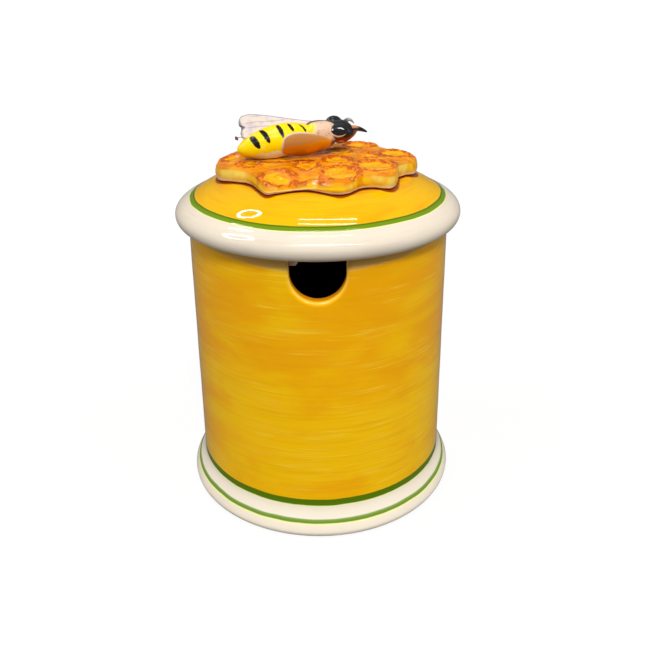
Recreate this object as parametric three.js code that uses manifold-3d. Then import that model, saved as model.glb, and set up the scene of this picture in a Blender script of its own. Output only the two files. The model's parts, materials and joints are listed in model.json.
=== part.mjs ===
// Ceramic honey pot: a round pot on a flared foot with a spoon notch in its rim, and a lift-off
// lid that carries a moulded slab of honeycomb with a bee sitting on it.
// Millimetres, +Z up. The origin is the centre of the foot's underside and the notch faces -Y.

import * as THREE from 'three';
import { mergeVertices } from 'three/addons/utils/BufferGeometryUtils.js';
import Module from 'manifold-3d';

const wasm = await Module();
wasm.setup();

// Pot
const potTopRadius = 50;
const potBaseRadius = 51.6;
const potHeight = 114.2;
const wallThickness = 5.5;
const floorThickness = 6;
const insideCornerRadius = 6;
const potLipRound = 1.8;

// Flared foot
const footHeight = 13;
const footRadius = 56.5;
const footEdgeRound = 2.4;
const footRingWidth = 7;
const footRecessDepth = 2;

// Spoon notch
const notchWidth = 19.4;
const notchDepth = 16.4;

// Lid shell: a rolled rim that overhangs the pot, and a low dome with a flat crown
const lidRimOverhang = 4.7;
const lidRimWidestHeight = 3.6;
const lidRimHeight = 9.2;
const lidRimDrop = 0.8;
const lidRimFoot = 1.4;
const lidShoulderInset = 1.1;
const lidDomeRise = 7.2;
const lidCrownRadius = 34;
const lidShellThickness = 5;
const lidLipClearance = 0.5;

// Locating ring under the lid, open where the spoon passes
const locatingRingThickness = 3.5;
const locatingRingDepth = 5.9;
const locatingRingClearance = 0.6;
const locatingRingRound = 1;
const locatingRingGapWidth = 20;
const locatingRingGapDegrees = 5;

// Honeycomb slab
const combReach = 38.9;
const combThickness = 5.4;
const combEdgeRound = 0.8;
const combCellRadius = 6.4;
const combCellRimWidth = 1.5;
const combCellRimHeight = 0.7;
const combCellDepth = 0.8;

// Bee
const beeHeadingDegrees = 20;
const abdomenLength = 31.4;
const abdomenWidth = 11.6;
const abdomenHeight = 12.4;
const thoraxLength = 11.8;
const thoraxWidth = 11.2;
const thoraxHeight = 10.2;
const headLength = 9.8;
const headWidth = 9.4;
const headHeight = 8.8;
const headRollDegrees = 9;
const leftEyeLength = 6.2;
const rightEyeLength = 7.4;
const eyeWidth = 4.6;
const eyeHeight = 5.4;
const leftWingLength = 32.8;
const leftWingWidth = 12.2;
const rightWingLength = 25.7;
const rightWingWidth = 10.9;
const wingThickness = 1.5;
const wingCup = 0.9;
const leftWingTiltDegrees = 48;
const rightWingTiltDegrees = 58;
const leftAntennaThickness = 1.4;
const rightAntennaThickness = 2.1;
const leftAntennaLength = 4.6;
const rightAntennaLength = 6.6;
const stingerLength = 4.6;
const stingerThickness = 0.9;

// Gap left between pieces that rest on each other or are luted together
const seatGap = 0.3;
// How far a cutter runs past what it cuts
const overrun = 3;
const mergeTolerance = 0.0001;

// How finely the curves are divided
const turnSteps = 60;
const curveSteps = 5;
const smallCurveSteps = 2;
const bodyRings = 12;
const bodySides = 16;
const fineRings = 8;
const fineSides = 10;
const combOutlineSteps = 66;
const notchSides = 24;
const cellSides = 18;
const bevelSteps = 2;

// Levels and radii that several pieces use
const lidSeatZ = potHeight + seatGap;
const lidRimZ = potHeight - lidRimDrop;
const lidShoulderZ = lidRimZ + lidRimHeight;
const lidCrownZ = lidShoulderZ + lidDomeRise;
const lidRimRadius = potTopRadius + lidRimOverhang;
const lidShoulderRadius = potTopRadius - lidShoulderInset;
const mouthRadius = potTopRadius - wallThickness;
const locatingRingOuterRadius = mouthRadius - locatingRingClearance;
const locatingRingInnerRadius = locatingRingOuterRadius - locatingRingThickness;
const combBottomZ = lidCrownZ + seatGap;
const combTopZ = combBottomZ + combThickness;

// Solids and meshes

function solidFrom(geometry) {
  geometry.deleteAttribute('normal');
  geometry.deleteAttribute('uv');
  const merged = mergeVertices(geometry, mergeTolerance);
  const corners = merged.index.array;
  const triangles = [];
  for (let i = 0; i < corners.length; i += 3) {
    const [a, b, c] = [corners[i], corners[i + 1], corners[i + 2]];
    if (a !== b && b !== c && c !== a) triangles.push(a, b, c);
  }
  return new wasm.Manifold(new wasm.Mesh({
    numProp: 3,
    vertProperties: new Float32Array(merged.attributes.position.array),
    triVerts: new Uint32Array(triangles),
  }));
}

function meshOf(name, solid, material) {
  const { vertProperties, triVerts } = solid.getMesh();
  const geometry = new THREE.BufferGeometry();
  geometry.setAttribute('position', new THREE.BufferAttribute(new Float32Array(vertProperties), 3));
  geometry.setIndex(new THREE.BufferAttribute(new Uint32Array(triVerts), 1));
  geometry.computeVertexNormals();
  const mesh = new THREE.Mesh(geometry, material);
  mesh.name = name;
  return mesh;
}

// Turns a path of (radius, height) points about the Z axis.
function turned(path, steps = curveSteps) {
  const geometry = new THREE.LatheGeometry(path.getPoints(steps), turnSteps);
  geometry.rotateX(Math.PI / 2);
  return solidFrom(geometry);
}

// Adds a curve to a path. Its one or two control points are shares of the way, across and up,
// from the last point to the new one.
function curveTo(path, radius, height, controlShares) {
  const { x, y } = path.currentPoint;
  const controls = controlShares.flatMap(([across, up]) => (
    [x + (radius - x) * across, y + (height - y) * up]
  ));
  if (controlShares.length > 1) {
    path.bezierCurveTo(...controls, radius, height);
  } else {
    path.quadraticCurveTo(...controls, radius, height);
  }
}

// A closed skin whose rings close to a point at both ends. ringPoint takes the share of the
// length and the angle round it.
function skin(ringPoint, rings, sides) {
  const positions = [...ringPoint(0, 0).toArray()];
  const triangles = [];
  for (let ring = 1; ring < rings; ring++) {
    for (let side = 0; side < sides; side++) {
      positions.push(...ringPoint(ring / rings, (side / sides) * 2 * Math.PI).toArray());
    }
  }
  positions.push(...ringPoint(1, 0).toArray());
  const corner = (ring, side) => 1 + (ring - 1) * sides + (side % sides);
  const last = positions.length / 3 - 1;
  for (let side = 0; side < sides; side++) {
    triangles.push(0, corner(1, side + 1), corner(1, side));
    triangles.push(last, corner(rings - 1, side), corner(rings - 1, side + 1));
    for (let ring = 1; ring < rings - 1; ring++) {
      const [a, b] = [corner(ring, side), corner(ring, side + 1)];
      const [c, d] = [corner(ring + 1, side), corner(ring + 1, side + 1)];
      triangles.push(a, b, d, a, d, c);
    }
  }
  const geometry = new THREE.BufferGeometry();
  geometry.setAttribute('position', new THREE.BufferAttribute(new Float32Array(positions), 3));
  geometry.setIndex(triangles);
  return solidFrom(geometry);
}

// Pot

const footSweepShares = [[0.23, 0.36], [0.94, 0.6]];

function potProfile() {
  const baseInnerRadius = potBaseRadius - wallThickness;
  const recessRadius = footRadius - footEdgeRound - footRingWidth;
  const insideFloorZ = footRecessDepth + floorThickness;
  const profile = new THREE.Path();
  profile.moveTo(0, footRecessDepth);
  profile.lineTo(recessRadius, footRecessDepth);
  profile.lineTo(recessRadius + footRecessDepth / 2, 0);
  profile.lineTo(footRadius - footEdgeRound, 0);
  profile.quadraticCurveTo(footRadius, 0, footRadius, footEdgeRound);
  curveTo(profile, potBaseRadius, footHeight, footSweepShares);
  profile.lineTo(potTopRadius, potHeight - potLipRound);
  profile.quadraticCurveTo(potTopRadius, potHeight, potTopRadius - potLipRound, potHeight);
  profile.lineTo(mouthRadius + potLipRound, potHeight);
  profile.quadraticCurveTo(mouthRadius, potHeight, mouthRadius, potHeight - potLipRound);
  profile.lineTo(baseInnerRadius, insideFloorZ + insideCornerRadius);
  profile.quadraticCurveTo(
    baseInnerRadius, insideFloorZ,
    baseInnerRadius - insideCornerRadius, insideFloorZ,
  );
  profile.lineTo(0, insideFloorZ);
  return profile;
}

// A U-shaped prism from outside the front wall to the middle of the pot.
function notchCutter() {
  const halfWidth = notchWidth / 2;
  const centreZ = potHeight - notchDepth + halfWidth;
  const outline = new THREE.Shape();
  outline.moveTo(-halfWidth, potHeight + overrun);
  outline.lineTo(-halfWidth, centreZ);
  outline.absarc(0, centreZ, halfWidth, Math.PI, 2 * Math.PI, false);
  outline.lineTo(halfWidth, potHeight + overrun);
  outline.closePath();
  const geometry = new THREE.ExtrudeGeometry(outline, {
    depth: potBaseRadius + overrun, bevelEnabled: false, curveSegments: notchSides / 2,
  });
  geometry.rotateX(Math.PI / 2);
  return solidFrom(geometry);
}

function potBody() {
  return turned(potProfile()).subtract(notchCutter());
}

// Lid

const rimUndersideShares = [[0.61, 0.06], [1, 0.5]];
const rimRollShares = [[0, 0.46], [0.54, 0.84]];
const domeShares = [[0.54, 0.7]];
const domeInsideShares = [[1, 0.23]];

function lidShell() {
  const underCrownZ = lidCrownZ - lidShellThickness;
  const lipRadius = potTopRadius + lidLipClearance;
  const profile = new THREE.Path();
  profile.moveTo(0, underCrownZ);
  profile.lineTo(lidCrownRadius - lidShellThickness, underCrownZ);
  curveTo(profile, locatingRingInnerRadius, lidSeatZ, domeInsideShares);
  profile.lineTo(lipRadius, lidSeatZ);
  profile.lineTo(lipRadius, lidRimZ);
  profile.lineTo(lipRadius + lidRimFoot, lidRimZ);
  curveTo(profile, lidRimRadius, lidRimZ + lidRimWidestHeight, rimUndersideShares);
  curveTo(profile, lidShoulderRadius, lidShoulderZ, rimRollShares);
  curveTo(profile, lidCrownRadius, lidCrownZ, domeShares);
  profile.lineTo(0, lidCrownZ);
  return turned(profile);
}

function locatingRing() {
  const topZ = lidSeatZ - seatGap;
  const bottomZ = topZ - locatingRingDepth;
  const profile = new THREE.Path();
  profile.moveTo(locatingRingInnerRadius, topZ);
  profile.lineTo(locatingRingInnerRadius, bottomZ + locatingRingRound);
  profile.quadraticCurveTo(
    locatingRingInnerRadius, bottomZ,
    locatingRingInnerRadius + locatingRingRound, bottomZ,
  );
  profile.lineTo(locatingRingOuterRadius - locatingRingRound, bottomZ);
  profile.quadraticCurveTo(
    locatingRingOuterRadius, bottomZ,
    locatingRingOuterRadius, bottomZ + locatingRingRound,
  );
  profile.lineTo(locatingRingOuterRadius, topZ);
  profile.lineTo(locatingRingInnerRadius, topZ);

  const gap = new THREE.BoxGeometry(
    locatingRingGapWidth,
    locatingRingOuterRadius + overrun,
    locatingRingDepth + 2 * overrun,
  );
  gap.translate(0, -(locatingRingOuterRadius + overrun) / 2, topZ - locatingRingDepth / 2);
  gap.rotateZ(THREE.MathUtils.degToRad(locatingRingGapDegrees));
  return turned(profile, smallCurveSteps).subtract(solidFrom(gap));
}

// Honeycomb slab

// The wavy outline goes anticlockwise from the right-hand lobe, in shares of the comb's reach.
const combOutlineShares = [
  [0.99, 0.1], [0.96, 0.29], [0.845, 0.405], [0.71, 0.44], [0.655, 0.56], [0.6, 0.745],
  [0.47, 0.835], [0.31, 0.815], [0.18, 0.735], [0.06, 0.745], [-0.08, 0.81], [-0.24, 0.79],
  [-0.36, 0.69], [-0.47, 0.64], [-0.6, 0.64], [-0.71, 0.57], [-0.78, 0.47], [-0.87, 0.4],
  [-0.955, 0.24], [-0.985, 0.05], [-0.98, -0.13], [-0.91, -0.275], [-0.785, -0.375],
  [-0.65, -0.44], [-0.575, -0.57], [-0.515, -0.72], [-0.44, -0.81], [-0.34, -0.79],
  [-0.215, -0.72], [-0.1, -0.695], [0.005, -0.745], [0.095, -0.82], [0.19, -0.855],
  [0.285, -0.815], [0.36, -0.71], [0.44, -0.63], [0.52, -0.63], [0.61, -0.66], [0.69, -0.62],
  [0.745, -0.48], [0.775, -0.29], [0.85, -0.195], [0.94, -0.105],
];

// Each cell's centre in shares of the comb's reach, and its radius as a share of the usual one.
const combCellShares = [
  [-0.8, 0.03, 0.92], [-0.36, -0.56, 1.1], [-0.103, -0.3, 0.9], [0.221, -0.55, 1.15],
  [0.19, -0.12, 0.95], [0.535, -0.33, 1.25], [0.516, 0.06, 0.8], [0.778, 0.157, 1.05],
  [0.43, 0.54, 1.05], [-0.56, 0.4, 0.95], [-0.12, 0.56, 1], [-0.63, -0.22, 0.8],
];

function combOutline() {
  const points = combOutlineShares.map(([x, y]) => new THREE.Vector3(x, y, 0));
  const curve = new THREE.CatmullRomCurve3(points, true);
  const places = curve.getSpacedPoints(combOutlineSteps).slice(0, combOutlineSteps);
  return places.map((p) => new THREE.Vector2(p.x * combReach, p.y * combReach));
}

function combSlab(outline) {
  const geometry = new THREE.ExtrudeGeometry(new THREE.Shape(outline), {
    depth: combThickness - 2 * combEdgeRound,
    bevelThickness: combEdgeRound,
    bevelSize: combEdgeRound,
    bevelOffset: -combEdgeRound,
    bevelSegments: bevelSteps,
  });
  geometry.translate(0, 0, combBottomZ + combEdgeRound);
  return solidFrom(geometry);
}

// A cell's raised rim or the cup inside it, both standing in the comb's top.
function combCell(x, y, radius, part) {
  const cupRadius = radius - combCellRimWidth;
  const shapes = {
    rim: [radius - combCellRimHeight, radius],
    cup: [cupRadius, cupRadius - combCellDepth],
  };
  const height = combCellRimHeight + combCellDepth;
  const geometry = new THREE.CylinderGeometry(...shapes[part], height, cellSides);
  geometry.rotateX(Math.PI / 2);
  geometry.translate(x, y, combTopZ + combCellRimHeight - height / 2);
  return solidFrom(geometry);
}

function honeycombSlab() {
  const outline = combOutline();
  const column = new THREE.ExtrudeGeometry(new THREE.Shape(outline), {
    depth: combThickness + combCellRimHeight + overrun, bevelEnabled: false,
  });
  column.translate(0, 0, combBottomZ);
  const cells = combCellShares.map(([x, y, size]) => (
    [x * combReach, y * combReach, size * combCellRadius]
  ));
  let rims = combCell(...cells[0], 'rim');
  for (const cell of cells.slice(1)) rims = rims.add(combCell(...cell, 'rim'));
  let slab = combSlab(outline).add(rims.intersect(solidFrom(column)));
  for (const cell of cells) slab = slab.subtract(combCell(...cell, 'cup'));
  return slab;
}

// Bee. Its own frame has x along the body from tail to head, y to its left, and z up from the
// top of the comb. Lengths along the body start at the tail.

const beePlaceShares = [-0.762, -0.087];
const abdomenRiseShares = [0.315, 0.64];
const thoraxForwardShare = 0.11;
const thoraxRiseShare = 0.71;
const headForwardShare = 0.81;
const headRiseShare = 0.75;
const abdomenFullness = 0.6;
const hornTaper = 0.5;

// Centres of the eyes in shares of the head, from the head's own centre.
const leftEyeShares = [-0.12, 0.42, 0.2];
const rightEyeShares = [-0.2, -0.42, 0.2];

// A wing's root is in shares of the thorax, from its centre along x and y and from the comb up
// z. Its tip is in shares of the abdomen in the same way, but from the tail along x. The two
// powers say how sharply it narrows to its root and to its tip.
const leftWingShares = { root: [0.33, 0.38, 1.1], tip: [0.132, 0.8, 0.77], powers: [1.4, 0.2] };
const rightWingShares = { root: [0.56, -0.34, 0.48], tip: [0.45, -0.83, 0.54], powers: [0.8, 0.3] };

// An antenna's root is in shares of the head, from the head's centre, and its bend and tip are
// shares of its own length, forward, outward and up from the root.
const leftAntennaShares = { root: [0.18, 0.2, 0.27], bend: [0.45, 0, 0.75], tip: [1, 0.08, -0.05] };
const rightAntennaShares = {
  root: [0.34, -0.2, 0.12], bend: [0.45, 0, 0.04], tip: [1, -0.06, -0.26],
};

// The stinger's root is in shares of the abdomen from the tail and the comb, and its bend and
// tip are shares of its own length from the root.
const stingerShares = { root: [0.13, 0, 0.6], bend: [-0.6, 0, 0.45], tip: [-1, 0, 0.05] };

const thoraxCentre = new THREE.Vector3(
  abdomenLength + thoraxLength * thoraxForwardShare, 0, thoraxHeight * thoraxRiseShare,
);
const headCentre = new THREE.Vector3(
  thoraxCentre.x + (thoraxLength + headLength) / 2 * headForwardShare,
  0,
  thoraxHeight * headRiseShare,
);

// A swelling form between two ends. fullness under one makes the ends blunt.
function swelling(along, fullness) {
  return along > 0 && along < 1 ? Math.sin(Math.PI * along) ** fullness : 0;
}

function abdomen(grow) {
  return skin((along, around) => {
    const size = swelling(along, abdomenFullness);
    const swell = size > 0 ? grow : 0;
    const rise = THREE.MathUtils.lerp(...abdomenRiseShares, along);
    return new THREE.Vector3(
      along * (abdomenLength + 2 * grow) - grow,
      Math.cos(around) * (size * abdomenWidth / 2 + swell),
      rise * abdomenHeight + Math.sin(around) * (size * abdomenHeight / 2 + swell),
    );
  }, bodyRings, bodySides);
}

// An egg-shaped form about a centre, grown all round by a clearance.
function egg(centre, length, width, height, grow, rings, sides) {
  return skin((along, around) => {
    const size = swelling(along, 1);
    return new THREE.Vector3(
      centre.x - Math.cos(along * Math.PI) * (length / 2 + grow),
      centre.y + Math.cos(around) * size * (width / 2 + grow),
      centre.z + Math.sin(around) * size * (height / 2 + grow),
    );
  }, rings, sides);
}

function thorax(grow) {
  return egg(thoraxCentre, thoraxLength, thoraxWidth, thoraxHeight, grow, bodyRings, bodySides);
}

function head(grow) {
  return egg(headCentre, headLength, headWidth, headHeight, grow, bodyRings, bodySides);
}

// The head is rolled a little to its right, which lowers that eye.
function eye(length, placeShares, grow) {
  const [forward, outward, upward] = placeShares;
  const out = headWidth * outward;
  const roll = out * Math.tan(THREE.MathUtils.degToRad(headRollDegrees));
  const centre = headCentre.clone().add(
    new THREE.Vector3(headLength * forward, out, headHeight * upward + roll),
  );
  return egg(centre, length, eyeWidth, eyeHeight, grow, fineRings, bodySides);
}

function leftEye(grow) {
  return eye(leftEyeLength, leftEyeShares, grow);
}

function rightEye(grow) {
  return eye(rightEyeLength, rightEyeShares, grow);
}

// A leaf's half width along its length, 1 where it is widest and 0 at both ends.
function leafWidth(along, [rootPower, tipPower]) {
  if (along <= 0 || along >= 1) return 0;
  const widest = rootPower / (rootPower + tipPower);
  return (along / widest) ** rootPower * ((1 - along) / (1 - widest)) ** tipPower;
}

// A leaf-shaped plate swept back from the thorax, with its outer edge raised. side is 1 for the
// bee's left and -1 for its right. The section is gone round the other way on the left, so that
// the faces point out on both sides. Its rings crowd towards the blunt tip.
function wing(side, length, width, tiltDegrees, shares) {
  const tilt = THREE.MathUtils.degToRad(tiltDegrees);
  const outward = new THREE.Vector3(0, side * Math.cos(tilt), Math.sin(tilt));
  const upward = new THREE.Vector3(0, -side * Math.sin(tilt), Math.cos(tilt));
  const [rootX, rootY, rootZ] = shares.root;
  const [tipX, tipY, tipZ] = shares.tip;
  const root = new THREE.Vector3(
    thoraxCentre.x + thoraxLength * rootX, thoraxWidth * rootY, thoraxHeight * rootZ,
  );
  const run = new THREE.Vector3(
    abdomenLength * tipX, abdomenWidth * tipY, abdomenHeight * tipZ,
  ).sub(root).setLength(length);
  return skin((share, around) => {
    const along = Math.sin(share * Math.PI / 2);
    const leaf = leafWidth(along, shares.powers);
    const across = Math.cos(around) * leaf;
    const thick = -side * Math.sin(around) * Math.sqrt(leaf) * wingThickness / 2;
    const cup = (across * across - 1) * wingCup;
    return root.clone()
      .addScaledVector(run, along)
      .addScaledVector(outward, across * width / 2)
      .addScaledVector(upward, thick + cup);
  }, bodyRings, bodySides);
}

// A thin round horn, thickest at its root, along a curve from the root over the bend to the tip.
function horn(root, length, thickness, shares) {
  const [bend, tip] = [shares.bend, shares.tip].map((place) => (
    new THREE.Vector3(...place).multiplyScalar(length).add(root)
  ));
  const curve = new THREE.QuadraticBezierCurve3(root, bend, tip);
  const sideways = new THREE.Vector3(0, 1, 0);
  return skin((along, around) => {
    const size = along > 0 && along < 1 ? (1 - along) ** hornTaper : 0;
    const across = sideways.clone().cross(curve.getTangent(along)).normalize();
    return curve.getPoint(along)
      .addScaledVector(sideways, Math.cos(around) * size * thickness / 2)
      .addScaledVector(across, -Math.sin(around) * size * thickness / 2);
  }, fineRings, fineSides);
}

function antenna(length, thickness, shares) {
  const [x, y, z] = shares.root;
  const root = headCentre.clone().add(
    new THREE.Vector3(headLength * x, headWidth * y, headHeight * z),
  );
  return horn(root, length, thickness, shares);
}

function stinger() {
  const [x, y, z] = stingerShares.root;
  const root = new THREE.Vector3(abdomenLength * x, abdomenWidth * y, abdomenHeight * z);
  return horn(root, stingerLength, stingerThickness, stingerShares);
}

// The body rests on the comb on a flat of its own, a seat gap above it.
function seated(solid) {
  return solid.trimByPlane([0, 0, 1], seatGap);
}

function beeMeshes(paint) {
  const chest = thorax(seatGap);
  const eyes = leftEye(seatGap).add(rightEye(seatGap));
  const headSpace = head(seatGap).add(eyes);
  const body = abdomen(seatGap).add(chest).add(headSpace);
  const leftWing = wing(1, leftWingLength, leftWingWidth, leftWingTiltDegrees, leftWingShares);
  const rightWing = wing(
    -1, rightWingLength, rightWingWidth, rightWingTiltDegrees, rightWingShares,
  );
  const leftAntenna = antenna(leftAntennaLength, leftAntennaThickness, leftAntennaShares);
  const rightAntenna = antenna(rightAntennaLength, rightAntennaThickness, rightAntennaShares);
  return [
    meshOf('bee_abdomen', seated(abdomen(0)), paint.yellow),
    meshOf('bee_thorax', seated(thorax(0)).subtract(abdomen(seatGap)), paint.blush),
    meshOf('bee_head', head(0).subtract(chest).subtract(eyes), paint.black),
    meshOf('bee_eye_left', leftEye(0).subtract(chest), paint.black),
    meshOf('bee_eye_right', rightEye(0).subtract(chest), paint.black),
    meshOf('bee_wing_left', leftWing.subtract(body), paint.pearl),
    meshOf('bee_wing_right', rightWing.subtract(body), paint.pearl),
    meshOf('bee_antenna_left', leftAntenna.subtract(headSpace), paint.grey),
    meshOf('bee_antenna_right', rightAntenna.subtract(headSpace), paint.grey),
    meshOf('bee_stinger', stinger().subtract(abdomen(seatGap)), paint.brown),
  ];
}

// Glazes

function glaze(colour, roughness = 0.12) {
  return new THREE.MeshStandardMaterial({ color: colour, roughness, metalness: 0 });
}

const paint = {
  honey: glaze(0xe4a502),
  sun: glaze(0xfcc804),
  cream: glaze(0xf6e9dc),
  comb: glaze(0xf0941c, 0.2),
  yellow: glaze(0xf5dc14),
  blush: glaze(0xe8c8b8),
  black: glaze(0x1c1c1e),
  pearl: glaze(0xf2e8e8),
  grey: glaze(0x3a3a40),
  brown: glaze(0x6e3c48),
};

const pot = new THREE.Group();
pot.add(meshOf('pot_body', potBody(), paint.honey));

const bee = new THREE.Group();
bee.add(...beeMeshes(paint));
bee.position.set(beePlaceShares[0] * combReach, beePlaceShares[1] * combReach, combTopZ);
bee.rotation.z = THREE.MathUtils.degToRad(beeHeadingDegrees);

const lid = new THREE.Group();
lid.add(meshOf('lid_shell', lidShell(), paint.sun));
lid.add(meshOf('lid_locating_ring', locatingRing(), paint.cream));
lid.add(meshOf('honeycomb_slab', honeycombSlab(), paint.comb));
lid.add(bee);

const honeyPot = new THREE.Group();
honeyPot.add(pot, lid);

export default honeyPot;
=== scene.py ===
# %% [markdown]
# # A ceramic honey pot with a bee on its lid
#
# The pot is white clay, cast or thrown, painted with coloured glazes by brush and fired glossy.
# Its lid lifts off and carries a moulded slab of honeycomb with a small sculpted bee.
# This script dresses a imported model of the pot. Every new piece is a grid of points worked out
# with numpy, because turned, moulded and modelled clay are all smooth functions of two numbers.
# Lengths are in millimetres all through, and MM turns them into Blender's metres.

# %% Load the frame
import json

import bpy
import numpy as np
from mathutils import Matrix, Vector

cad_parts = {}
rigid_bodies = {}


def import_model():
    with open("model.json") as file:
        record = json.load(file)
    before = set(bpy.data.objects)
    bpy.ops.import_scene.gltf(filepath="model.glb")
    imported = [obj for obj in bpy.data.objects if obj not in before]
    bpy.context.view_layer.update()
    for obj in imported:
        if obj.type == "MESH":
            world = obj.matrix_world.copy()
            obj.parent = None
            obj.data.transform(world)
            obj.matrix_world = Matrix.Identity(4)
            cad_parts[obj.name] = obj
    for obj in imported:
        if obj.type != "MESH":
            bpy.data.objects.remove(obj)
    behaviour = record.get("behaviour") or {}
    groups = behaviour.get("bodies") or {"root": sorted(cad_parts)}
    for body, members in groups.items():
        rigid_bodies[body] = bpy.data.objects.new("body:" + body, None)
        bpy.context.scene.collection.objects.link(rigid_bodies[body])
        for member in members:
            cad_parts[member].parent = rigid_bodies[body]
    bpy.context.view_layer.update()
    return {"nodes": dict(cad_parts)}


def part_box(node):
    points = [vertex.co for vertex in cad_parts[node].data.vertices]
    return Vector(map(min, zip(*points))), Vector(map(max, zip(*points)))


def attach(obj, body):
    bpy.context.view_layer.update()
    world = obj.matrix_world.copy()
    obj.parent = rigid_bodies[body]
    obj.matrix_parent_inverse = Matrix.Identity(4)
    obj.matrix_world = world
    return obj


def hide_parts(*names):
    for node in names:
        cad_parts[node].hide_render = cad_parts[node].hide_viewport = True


for leftover in list(bpy.data.objects):
    bpy.data.objects.remove(leftover)
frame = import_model()
MM = 0.001


def box_mm(node):
    """The lowest and highest corners of a node, in millimetres."""
    low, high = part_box(node)
    return np.array(low) / MM, np.array(high) / MM


pot_low, pot_high = box_mm("pot_body")
lid_low, lid_high = box_mm("lid_shell")
ring_low, ring_high = box_mm("lid_locating_ring")
comb_low, comb_high = box_mm("honeycomb_slab")
print("pot is", np.round(pot_high - pot_low, 2), "mm, lid rim is", round(2 * lid_high[0], 2), "mm")

# %% [markdown]
# ## Camera
#
# The photograph looks down on the pot from in front, with a short lens close by. The camera's
# place, pitch and roll were fitted to the rims, bands and foot, so the picture can be compared
# with the photograph point by point.

# %% Place the camera
CAMERA_PLACE = (2.27, -273.27, 198.47)
CAMERA_PITCH_DEGREES = 26.028
CAMERA_ROLL_DEGREES = -0.607
CAMERA_LENS = 40.0
RIGHT_ANGLE = 90.0

camera_data = bpy.data.cameras.new("camera")
camera_data.lens = CAMERA_LENS
camera = bpy.data.objects.new("camera", camera_data)
camera.matrix_world = (
    Matrix.Translation(Vector(CAMERA_PLACE) * MM)
    @ Matrix.Rotation(np.radians(RIGHT_ANGLE - CAMERA_PITCH_DEGREES), 4, "X")
    @ Matrix.Rotation(np.radians(CAMERA_ROLL_DEGREES), 4, "Z")
)
bpy.context.scene.collection.objects.link(camera)
bpy.context.scene.camera = camera
bpy.context.scene.view_settings.view_transform = "Standard"
print("camera", round(Vector(CAMERA_PLACE).length, 1), "mm from the middle of the foot")

# %% [markdown]
# ## Shader helpers
#
# A glaze is a glossy coat over painted colour. It could be painted as a picture, but nodes stay
# sharp at any distance and need no unwrapping. A recipe here is a list of coats, laid one over
# another as a painter lays them. Each coat shows where some values lie past its edges: noise, the
# height, or a number stored on the mesh. These helpers add the nodes, one or two at a time.

# %% Nodes and numbers
def paint(red, green, blue):
    """A colour given as screen values from 0 to 255, turned into the linear values of a shader.

    A share of the screen's range is s / 12.92 up to 0.04045, and ((s + 0.055) / 1.055)^2.4 above."""
    share = np.array([red, green, blue]) / 255
    linear = np.where(share <= 0.04045, share / 12.92, ((share + 0.055) / 1.055) ** 2.4)
    return (*linear.tolist(), 1.0)


def node(tree, kind, inputs, **settings):
    """One shader node. An input is a value or another node's output."""
    made = tree.nodes.new(kind)
    for name, value in settings.items():
        setattr(made, name, value)
    for socket, value in inputs.items():
        if isinstance(value, bpy.types.NodeSocket):
            tree.links.new(value, made.inputs[socket])
        else:
            made.inputs[socket].default_value = value
    return made


def sums(tree, operation, first, second=0.0):
    """One step of arithmetic on two numbers."""
    return node(tree, "ShaderNodeMath", {0: first, 1: second}, operation=operation).outputs[0]


def plus(tree, first, second):
    """The sum of two numbers."""
    return sums(tree, "ADD", first, second)


def minus(tree, first, second):
    """The first number less the second."""
    return sums(tree, "SUBTRACT", first, second)


def times(tree, first, second):
    """The product of two numbers."""
    return sums(tree, "MULTIPLY", first, second)


print("a mid grey of 128 is", round(paint(128, 128, 128)[0], 3), "to a shader")


# %% Values to paint by
def stored(tree, *names):
    """Numbers that were stored on the mesh's points, by name."""
    return {name: node(tree, "ShaderNodeAttribute", {}, attribute_name=name).outputs["Fac"]
            for name in names}


def place_on(tree, stretch=(1.0, 1.0, 1.0)):
    """The point's own place in millimetres, stretched along each axis."""
    coordinates = node(tree, "ShaderNodeTexCoord", {}).outputs["Object"]
    scale = tuple(value / MM for value in stretch)
    return node(tree, "ShaderNodeMapping", {"Vector": coordinates, "Scale": scale}).outputs[0]


def axes(tree, vector):
    """A vector's three numbers, as X, Y and Z."""
    return node(tree, "ShaderNodeSeparateXYZ", {0: vector}).outputs


def noise(tree, vector, size, detail=2.0, roughness=0.5, distortion=0.0):
    """Cloudy noise from 0 to 1 whose patches are about `size` across."""
    inputs = {
        "Vector": vector, "Scale": 1 / size, "Detail": detail,
        "Roughness": roughness, "Distortion": distortion,
    }
    return node(tree, "ShaderNodeTexNoise", inputs).outputs["Fac"]


def noises(tree, table):
    """All noises of a table. A row is a stretch per axis, then what noise() takes."""
    return {name: noise(tree, place_on(tree, stretch), *settings)
            for name, (stretch, *settings) in table.items()}


def wander(tree, vector, size, reach, detail=2.0):
    """Noise about zero, as an unsteady hand gives it: (noise - 1/2) * reach."""
    return times(tree, minus(tree, noise(tree, vector, size, detail), 0.5), reach)


EVEN = (1.0, 1.0, 1.0)
print("values to paint by ready")


# %% Masks and coats
def step(tree, value, low, high):
    """0 below low, 1 above high, and smooth between them. low may be the larger."""
    inputs = {"Value": value, "From Min": low, "From Max": high}
    made = node(tree, "ShaderNodeMapRange", inputs, interpolation_type="SMOOTHSTEP")
    return made.outputs["Result"]


def band(tree, value, low, high, soft):
    """1 between low and high, falling to 0 over `soft` at each end."""
    rise = step(tree, value, low - soft / 2, low + soft / 2)
    fall = step(tree, value, high + soft / 2, high - soft / 2)
    return times(tree, rise, fall)


def mix(tree, factor, first, second):
    """The first colour, covered by the second as far as the factor says."""
    return node(tree, "ShaderNodeMix", {0: factor, 6: first, 7: second}, data_type="RGBA").outputs[2]


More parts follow.
